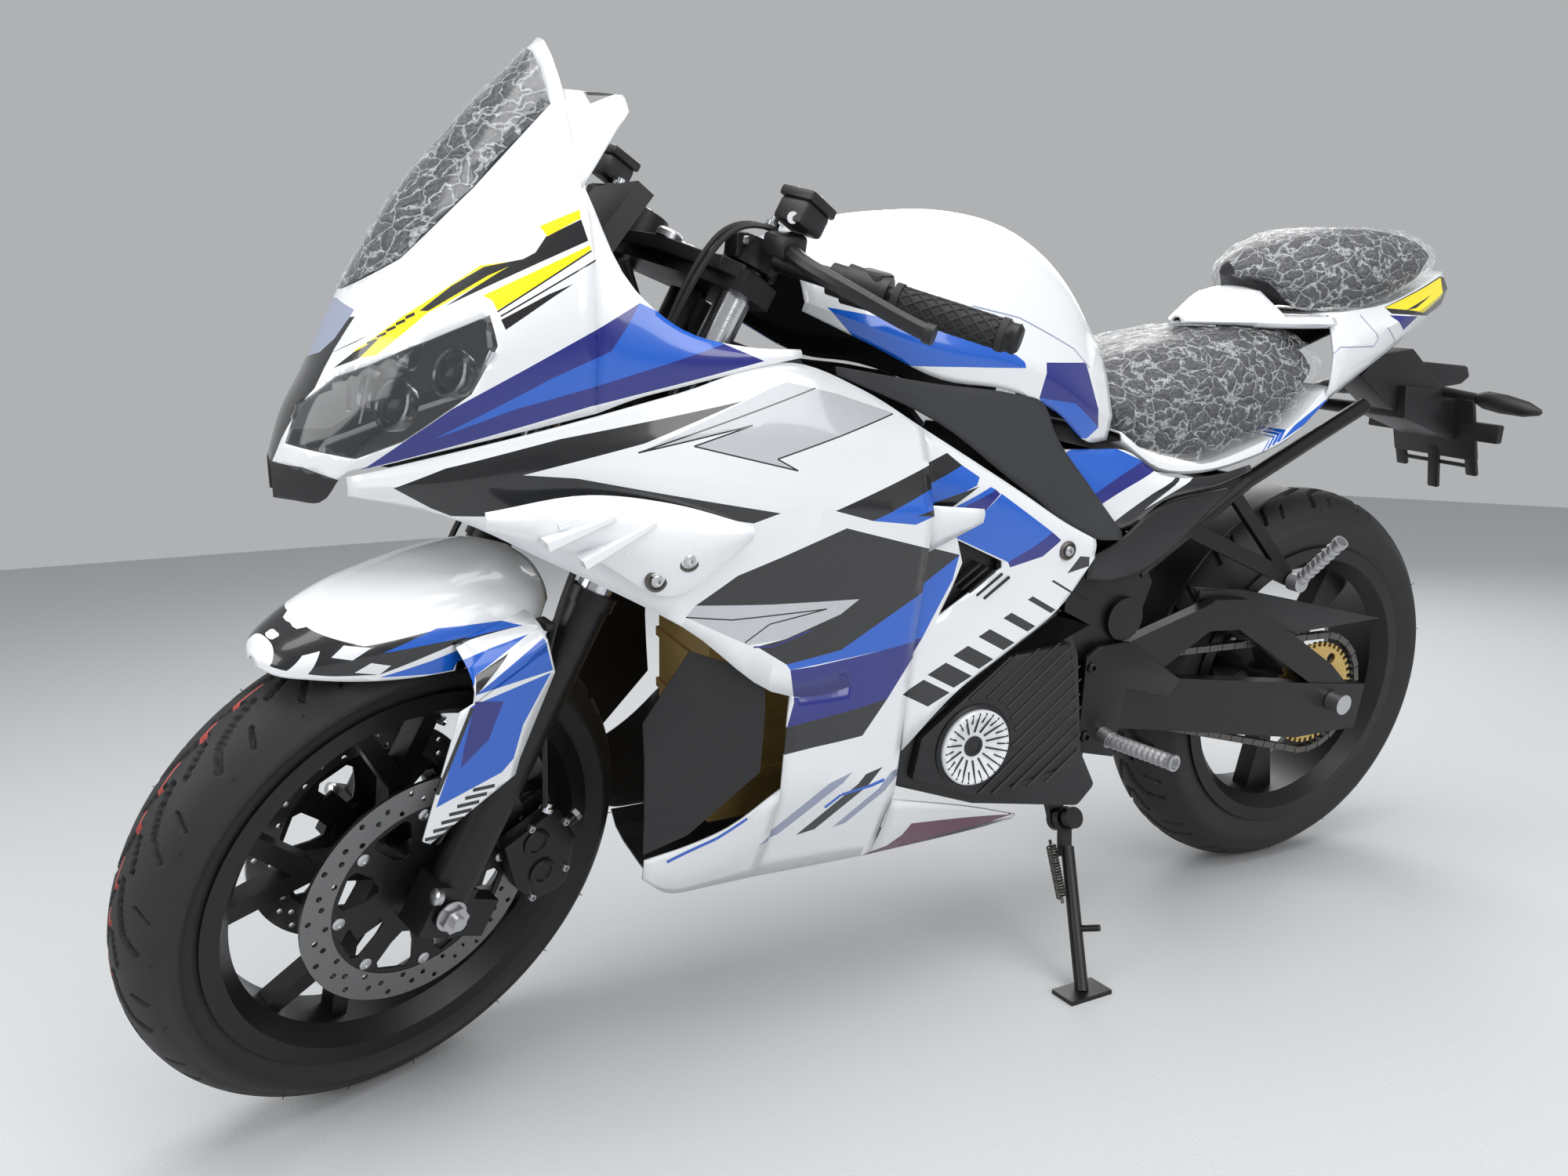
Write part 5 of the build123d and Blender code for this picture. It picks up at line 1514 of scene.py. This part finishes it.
def stand_coil():
    bm = bmesh.new()
    high, low = STAND_PIVOT + Vector((4, -26, -26)), STAND_PIVOT + STAND_DOWN * 110 + Vector((4, -20, 0))
    stand = turned_to(low - high, high)
    length = (low - high).length
    coil = []
    for k in range(217):
        turn = math.tau * 18 * k / 216
        coil.append(stand @ Vector((6.2 * math.cos(turn), 6.2 * math.sin(turn), 8 + (length - 16) * k / 216)))
    hose(bm, coil, 1.4, 0, 3, 6)
    rod(bm, high, high + (low - high) * 0.12, 2.2, sides=10)
    rod(bm, low - (low - high) * 0.12, low, 2.2, sides=10)
    piece("stand_coil_spring", bm, "side_stand", [DARK_STEEL], stands_for=["stand_spring"])


# Tail end
def tail_end():
    lamp_rows = [
        (1598.5, [(34, 898), (50, 910), (58, 938), (0, 944)]),
        (1610, [(28, 904), (42, 914), (48, 934), (0, 938)]),
    ]
    bm = sheet_of(lamp_rows, long_cuts=3, cross_cuts=4)
    bmesh.ops.holes_fill(bm, edges=bm.edges[:])
    both_sides(bm)
    bmesh.ops.recalc_face_normals(bm, faces=bm.faces[:])
    piece("tail_lamp_lens", bm, "chassis", [RED_LENS], stands_for=["tail_lamp"])
    bm = bmesh.new()
    neck = [(1478, 806), (1520, 838), (1592, 846), (1640, 812)]
    neck += [(1700, 772), (1716, 716), (1690, 704), (1560, 752)]
    slab(bm, neck, -30, 30, 0, 3)
    slab(bm, [(1600, 808), (1640, 824), (1744, 816), (1754, 798), (1735, 786), (1640, 778)], -24, 24, 0, 4)
    body = [(1566, 790), (1685, 778), (1732, 752), (1748, 716), (1736, 700), (1700, 698), (1574, 738)]
    slab(bm, body, -46, 46, 0, 4)
    beam(bm, (0, 1697.6, 767.2), (0, 1733, 666.3), 150, 8, 0, 2)
    block(bm, (0, 1714, 716), (236, 14, 30), 0, 3)
    for x, tip in ((-64, 640), (0, 610), (64, 640)):
        beam(bm, (x, 1726, 686), (x, 1744, tip), 20, 8, 0, 3)
    rod(bm, (-64, 1738, 655), (64, 1738, 655), 3.5)
    for sign in (1, -1):
        rod(bm, (sign * 40, 1664, 778), (sign * 100, 1666, 774), 8, 7)
        profile = [(0, 0), (9, 2), (14, 16), (15, 46), (12, 82), (5, 104), (0, 108)]
        lathe(bm, profile, (sign * 98, 1667, 774), (sign, -0.03, -0.1), 20, 0)
        socket_screw(bm, (sign * 60, 1712, 730), (0, 0.94, 0.33), 5, 3, 1)
    piece(
        "plate_bracket", bm, "chassis", [PLASTIC, STEEL], stands_for=["plate_holder"]
    )


winglet_panels()
motor_cover()
drive_chain()
guard_and_shock()
rider_footrests()
stand_coil()
tail_end()


# Seats
PAD_VOXEL = 0.006
SWELL_PRESSURE = 4
SWELL_FRAMES = 12
SWELL_LIMIT = 0.004
SMALLER_START = 0.965


def cushion(name, rows, node, pinch):
    """Seat swollen a little by a cloth simulation, under a stretched hide."""
    bm = sheet_of(rows, creases=(), long_cuts=4, cross_cuts=4, centred=True)
    floor_line = [(y, [points[0], (0, points[0][1] + 4)]) for y, points in rows]
    under = sheet_of(floor_line, long_cuts=4, cross_cuts=4)
    join(bm, under)
    mirrored(bm)
    bmesh.ops.remove_doubles(bm, verts=bm.verts[:], dist=0.3)
    edges = [e for e in bm.edges if len(e.link_faces) == 1]
    bmesh.ops.holes_fill(bm, edges=edges)
    bmesh.ops.recalc_face_normals(bm, faces=bm.faces[:])
    middle = Vector((0, (rows[0][0] + rows[-1][0]) / 2, rows[2][1][2][1] - 40))
    for v in bm.verts:
        v.co = middle + (v.co - middle) * SMALLER_START
    obj = piece(name, bm, "chassis", [HIDE], smooth=60)
    with bpy.context.temp_override(object=obj, active_object=obj, selected_objects=[obj]):
        remesh = obj.modifiers.new("even", "REMESH")
        remesh.mode = "VOXEL"
        remesh.voxel_size = PAD_VOXEL
        bpy.ops.object.modifier_apply(modifier=remesh.name)
        before = [v.co.copy() for v in obj.data.vertices]
        held = obj.vertex_groups.new(name="held")
        low = min(c.z for c in before)
        held.add([i for i, c in enumerate(before) if c.z < low + pinch], 1.0, "REPLACE")
        cloth = obj.modifiers.new("swell", "CLOTH")
        cloth.settings.use_pressure = True
        cloth.settings.uniform_pressure_force = SWELL_PRESSURE
        cloth.settings.effector_weights.gravity = 0
        cloth.settings.vertex_group_mass = "held"
        for frame_number in range(1, SWELL_FRAMES + 1):
            bpy.context.scene.frame_set(frame_number)
        bpy.ops.object.modifier_apply(modifier=cloth.name)
        bpy.context.scene.frame_set(1)
        for v, old in zip(obj.data.vertices, before):
            move = v.co - old
            if move.length > SWELL_LIMIT:
                v.co = old + move.normalized() * SWELL_LIMIT
        smooth = obj.modifiers.new("round", "SMOOTH")
        smooth.iterations = 3
        bpy.ops.object.modifier_apply(modifier=smooth.name)
    obj.data.shade_smooth()
    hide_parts(node)
    return obj


rider_pad = cushion("rider_cushion", RIDER_SEAT_ROWS, "rider_seat", 0.02)
pillion_pad = cushion("passenger_cushion", PILLION_ROWS, "pillion_seat", 0.012)


def film_over(name, rows, lift):
    """Thin protective film that lies on a seat in small creases."""
    crown = [(y, [(x * 0.98, z) for x, z in points]) for y, points in rows]
    bm = sheet_of(crown, creases=(), long_cuts=18, cross_cuts=18, centred=True)
    mirrored(bm)
    bmesh.ops.remove_doubles(bm, verts=bm.verts[:], dist=0.3)
    face_away(bm, lambda m: (0, m.y, m.z - 60))
    bm.normal_update()
    for v in bm.verts:
        crease = noise.noise(Vector((v.co.x * 0.07, v.co.y * 0.035, v.co.z * 0.05)))
        fine = noise.noise(v.co * 0.09)
        v.co += v.normal * (lift + abs(crease) * 6 + fine * 1.5)
    area = sum(f.calc_area() for f in bm.faces) / 1e6
    wide = 0.24
    obj = piece(name, bm, "chassis", [FILM], smooth=70)
    area / wide
    return obj


film_over("rider_seat_film", RIDER_SEAT_ROWS, 5.0)
film_over("passenger_seat_film", PILLION_ROWS, 1.5)


# Headlight
def headlight_inside():
    bm = bmesh.new()
    for x, y, z, r in ((84, 22, 812, 24), (128, 70, 846, 22)):
        way = Vector((0.42, -0.82, 0.30)).normalized()
        lathe(
            bm, [(r, -14), (r + 3, -4), (r + 3, 0), (r, 1), (r - 4, -5), (r - 4, -8)], (x, y, z), way, 28, 0
        )
        lathe(bm, [(r - 4, -8), (r - 5, -2), (r * 0.5, 3), (0, 5)], (x, y, z), way, 28, 1)
    for start, end in (((44, -4, 790), (70, 6, 838)), ((150, 84, 822), (165, 104, 868))):
        rod(bm, start, end, 3, sides=10, end_radius=3)
    both_sides(bm)
    piece("projector_eyes", bm, "chassis", [CHROME, GLASS])


headlight_inside()


# Controls
BAR_START = Vector((112, 4, 778))
BAR_FINISH = Vector((362, 112, 800))


def bar_point(t):
    return fork_point(*(BAR_START + (BAR_FINISH - BAR_START) * t))


def grip_rubber():
    bm = bmesh.new()
    start, end = bar_point(0.54), bar_point(0.985)
    along = (end - start).normalized()
    stand = turned_to(along, start)
    rod(bm, start, end, 14.6, sides=28)
    length = (end - start).length
    for hand in (1, -1):
        for k in range(8):
            path = []
            for j in range(25):
                turn = hand * (math.tau * 0.8 * j / 24) + math.tau * k / 8
                rise = 8 + (length - 16) * j / 24
                path.append(stand @ Vector((14.8 * math.cos(turn), 14.8 * math.sin(turn), rise)))
            hose(bm, path, 1.5, 0, 3, 5)
    for t in (0.0, 0.94):
        foot = start + along * length * t
        rod(bm, foot, foot + along * length * 0.06, 17.5, sides=28)
    both_sides(bm)
    piece("grip_rubbers", bm, "steering", [GRIP], place=STEERED, stands_for=["grips"])


def bars_and_clamps():
    bm = bmesh.new()
    rod(bm, bar_point(-0.02), bar_point(0.98), 11, sides=24)
    outward = bar_point(1) - bar_point(0)
    lathe(
        bm, [(0, 0), (15, 0), (17, 3), (15, 7), (16, 14), (12, 18), (0, 18)], bar_point(0.975), outward, 24, 0
    )
    up = STEER_AXIS
    lathe(bm, [(25, 0), (31, 1), (31, 30), (25, 31), (25, 0)], fork_point(FORK_X, FORK_Y, 759), up, 32, 0)
    block(bm, fork_point(FORK_X, -28, 774), (20, 16, 26), 0, 3)
    socket_screw(bm, fork_point(107, -28, 780), SIDEWAYS, 5, 4, 1)
    both_sides(bm)
    piece(
        "clip_on_bars",
        bm,
        "steering",
        [DARK_METAL, STEEL],
        place=STEERED,
        stands_for=["handlebars"],
    )


def switches_and_levers():
    bm = bmesh.new()
    along = (bar_point(1.0) - bar_point(0)).normalized()
    rod(bm, bar_point(0.345), bar_point(0.515), 21, 19, 24)
    block(bm, bar_point(0.43) + Vector((0, 6, 8)), (38, 30, 24), 0, 5)
    block(bm, bar_point(0.43) + Vector((0, 22, 12)), (12, 4, 8), 1, 1)
    block(bm, bar_point(0.47) + Vector((0, 22, 2)), (8, 4, 6), 3, 1)
    rod(bm, bar_point(0.28), bar_point(0.34), 17, sides=24)
    lever = [fork_point(150, 4, 790), fork_point(160, -18, 786), fork_point(190, -24, 774)]
    lever += [fork_point(236, -8, 768)]
    lever += [fork_point(300, 36, 762), fork_point(318, 46, 762)]
    hose(bm, lever, 9, 0, 3, 12)
    tip = fork_point(318, 46, 762)
    rod(bm, tip - along * 4, tip + along * 6, 10.5, sides=16)
    block(bm, fork_point(150, -16, 790), (34, 36, 24), 0, 6)
    cup = fork_point(158, -20, 808)
    lean = STEER_AXIS.to_track_quat("Z", "Y").to_matrix().to_4x4()
    block(bm, cup + STEER_AXIS * 12, (40, 40, 26), 0, 5, lean)
    block(bm, cup + STEER_AXIS * 29, (45, 45, 11), 0, 3, lean)
    sight_glass = cup + STEER_AXIS * 13 + Vector((8, -20.5, 0))
    lathe(bm, [(0, 0), (6, 0), (6, 1.6), (0, 1.6)], sight_glass, (0.35, -0.93, 0.1), 20, 2)
    for k in range(3):
        spin = math.tau * k / 3
        across, along_lid = 14 * math.cos(spin), 14 * math.sin(spin)
        spot = cup + STEER_AXIS * 35 + Vector((across, along_lid, -along_lid * 0.52))
        socket_screw(bm, spot, STEER_AXIS, 3, 2, 2)
    both_sides(bm)
    piece(
        "switches_and_levers",
        bm,
        "steering",
        [PLASTIC, RED, STEEL, AMBER],
        place=STEERED,
        stands_for=["controls"],
    )


def brake_lines():
    bm = bmesh.new()
    for shift in (0, 10):
        path = [fork_point(128 + shift, -22, 800), fork_point(104 + shift, -52, 796)]
        path += [fork_point(84 + shift, -58, 730)]
        path += [fork_point(88, -50, 600), fork_point(97 + shift * 0.4, -40, 440), fork_point(112, -36, 300)]
        path += [fork_point(118, 30, 190), fork_point(112, 72, 128)]
        hose(bm, path, 3.2, 0, 3, 10)
    for s in (470, 330):
        block(bm, fork_point(100, -40, s), (22, 12, 8), 0, 2)
    both_sides(bm)
    piece("brake_lines", bm, "steering", [HOSE], place=STEERED, stands_for=["brake_hoses"])
    bm = bmesh.new()
    for x, y, s in ((128, -22, 802), (112, 72, 128)):
        lathe(bm, [(0, 0), (8, 0), (8, 5), (5, 6), (5, 10), (0, 10)], fork_point(x, y, s), STEER_AXIS, 20, 0)
    both_sides(bm)
    piece("hose_unions", bm, "steering", [CHROME], place=STEERED)


def top_yoke():
    bm = bmesh.new()
    outline = [(-118, -22), (-96, -36), (-60, -30), (0, -44), (60, -30)]
    outline += [(96, -36), (118, -22), (120, 20), (92, 34)]
    outline += [(50, 26), (0, 40), (-50, 26), (-92, 34), (-120, 20)]
    low = [bm.verts.new(fork_point(x, y, 741)) for x, y in outline]
    high = [bm.verts.new(fork_point(x, y, 757)) for x, y in outline]
    faces = [bm.faces.new(low), bm.faces.new(high)]
    for k in range(len(low)):
        n = (k + 1) % len(low)
        faces.append(bm.faces.new([low[k], low[n], high[n], high[k]]))
    bmesh.ops.recalc_face_normals(bm, faces=faces)
    lathe(bm, [(18, 0), (18, 6), (13, 9), (0, 9)], fork_point(0, 0, 757), STEER_AXIS, 6, 1)
    lathe(bm, [(15, 0), (15, 8), (13, 10), (0, 9)], fork_point(0, -30, 757), STEER_AXIS, 28, 1)
    piece("top_yoke", bm, "steering", [DARK_METAL, STEEL], place=STEERED, round_off=1.5)


grip_rubber()
bars_and_clamps()
switches_and_levers()
brake_lines()
top_yoke()


def mirror_seats():
    """White oval pads with two capped holes where the mirrors would be screwed on."""
    bm = bmesh.new()
    way = Vector((0.690, -0.545, 0.478)).normalized()
    at = Vector((116, 139, 971)) + way * 7
    pad = bmesh.new()
    lathe(pad, [(0, 3.5), (15, 3.5), (17, 2), (17, -4), (0, -4)], (0, 0, 0), (0, 0, 1), 32, 0)
    twist = Matrix.Rotation(math.radians(35), 4, "Z")
    pad.transform(turned_to(way, at) @ twist @ Matrix.Diagonal((1.0, 2.1, 1, 1)))
    join(bm, pad)
    stand = turned_to(way, at) @ twist
    for shift, radius in ((-20, 6), (0, 4), (20, 6)):
        spot = stand @ Vector((0, shift, 3))
        lathe(bm, [(0, 0), (radius, 0), (radius, 1.4), (0, 1.4)], spot, way, 20, 1)
    both_sides(bm)
    piece("mirror_seats", bm, "chassis", [WHITE, PLASTIC])


def screen_film():
    bm = sheet_of(COWL_ROWS, creases=(), long_cuts=14, cross_cuts=14, centred=True)
    face_away(bm, lambda m: (0, m.y + 60, m.z - 60))
    paint(bm, SCREEN_VIEW, FOR_SCREEN)
    gone = [f for f in bm.faces if f.material_index != FOR_SCREEN]
    bmesh.ops.delete(bm, geom=gone, context="FACES")
    for face in bm.faces:
        face.material_index = 0
    mirrored(bm)
    bm.normal_update()
    for v in bm.verts:
        crease = noise.noise(Vector((v.co.x * 0.06, v.co.y * 0.04, v.co.z * 0.05)))
        v.co += v.normal * (1.0 + abs(crease) * 4)
    area = sum(f.calc_area() for f in bm.faces) / 1e6
    wide = 0.30
    obj = piece("windscreen_film", bm, "chassis", [FILM], smooth=70)
    area / wide


mirror_seats()
screen_film()


def plain_finish(finishes):
    """Every solid part that stays gets its finish."""
    for names, finish in finishes:
        for name in names.split():
            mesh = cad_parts[name].data
            mesh.materials.clear()
            mesh.materials.append(finish)


plain_finish(
    [
        ("front_tyre rear_tyre", TYRE),
        ("front_rim rear_rim frame motor swingarm shock fork_lowers triple_clamps", DARK_METAL),
        ("handlebars side_stand calipers", DARK_METAL),
        ("front_discs", FRONT_DISC_STEEL),
        ("rear_disc", REAR_DISC_STEEL),
        ("rear_sprocket", GOLD),
        ("fork_tubes", CHROME),
        ("grips", GRIP),
        ("controls chain_guards belly_pan inner_ducts cockpit_trim", PLASTIC),
        ("plate_holder motor_covers chin_intake", PLASTIC),
        ("frame_covers side_panels", TWILL),
        ("front_fender upper_cowl side_fairings winglets", WHITE),
        ("tank_cover seat_panels tail_fairing cover_discs", WHITE),
        ("brake_hoses", HOSE),
        ("front_axle rear_axle stand_spring", STEEL),
        ("battery_box", GOLD_CASE),
        ("chain", DARK_STEEL),
        ("windscreen", SCREEN),
        ("headlight", LENS),
        ("rider_seat pillion_seat", HIDE),
        ("tail_lamp", RED_LENS),
        ("footrests pillion_footrests", CAST),
    ]
)

# Camera, floor and light
camera_data = bpy.data.cameras.new("camera")
camera_data.lens = 26.85
camera_data.sensor_width = 36.0
camera = bpy.data.objects.new("camera", camera_data)
bpy.context.scene.collection.objects.link(camera)
camera.matrix_world = Matrix(
    (
        (0.4445229, -0.1169859, 0.8880955, 1.2903977),
        (0.8951581, 0.0945790, -0.4355993, -0.8887651),
        (-0.0330362, 0.9886198, 0.1467634, 0.7650327),
        (0, 0, 0, 1),
    )
)
bpy.context.scene.camera = camera

world = bpy.data.worlds.new("studio")
bpy.context.scene.world = world
world.use_nodes = True
world.node_tree.nodes["Background"].inputs["Color"].default_value = (0.86, 0.88, 0.90, 1)
world.node_tree.nodes["Background"].inputs["Strength"].default_value = 0.5
bpy.context.scene.view_settings.view_transform = "Standard"


def lamp(name, place, aim, size, power):
    data = bpy.data.lights.new(name, "AREA")
    data.shape = "RECTANGLE"
    data.size, data.size_y = size
    data.energy = power
    obj = bpy.data.objects.new(name, data)
    bpy.context.scene.collection.objects.link(obj)
    way = Vector(place) - Vector(aim)
    obj.matrix_world = Matrix.Translation(Vector(place)) @ way.to_track_quat("Z", "Y").to_matrix().to_4x4()


lamp("ceiling_panel", (0.6, -0.4, 3.0), (0, 0, 0.5), (3.4, 2.4), 78)
lamp("left_panel", (3.2, 0.6, 1.9), (0, 0, 0.6), (2.2, 1.8), 48)
lamp("front_panel", (0.3, -3.4, 1.8), (0, 0, 0.6), (2.4, 1.6), 40)
lamp("back_panel", (-2.4, 2.2, 2.2), (0, 0, 0.7), (2.0, 1.6), 50)


def ground():
    bm = bmesh.new()
    bmesh.ops.create_grid(bm, x_segments=1, y_segments=1, size=7)
    mesh = bpy.data.meshes.new("floor")
    bm.to_mesh(mesh)
    bm.free()
    floor = bpy.data.objects.new("floor", mesh)
    bpy.context.scene.collection.objects.link(floor)
    floor_finish = Finish("pale_floor", (0.60, 0.61, 0.62), 0.8)
    fibres = floor_finish.cloud(260)
    floor_finish.tint(fibres * 0.35, (0.44, 0.45, 0.46))
    floor_finish.relief(fibres, 0.0006)
    mesh.materials.append(floor_finish.material)


ground()
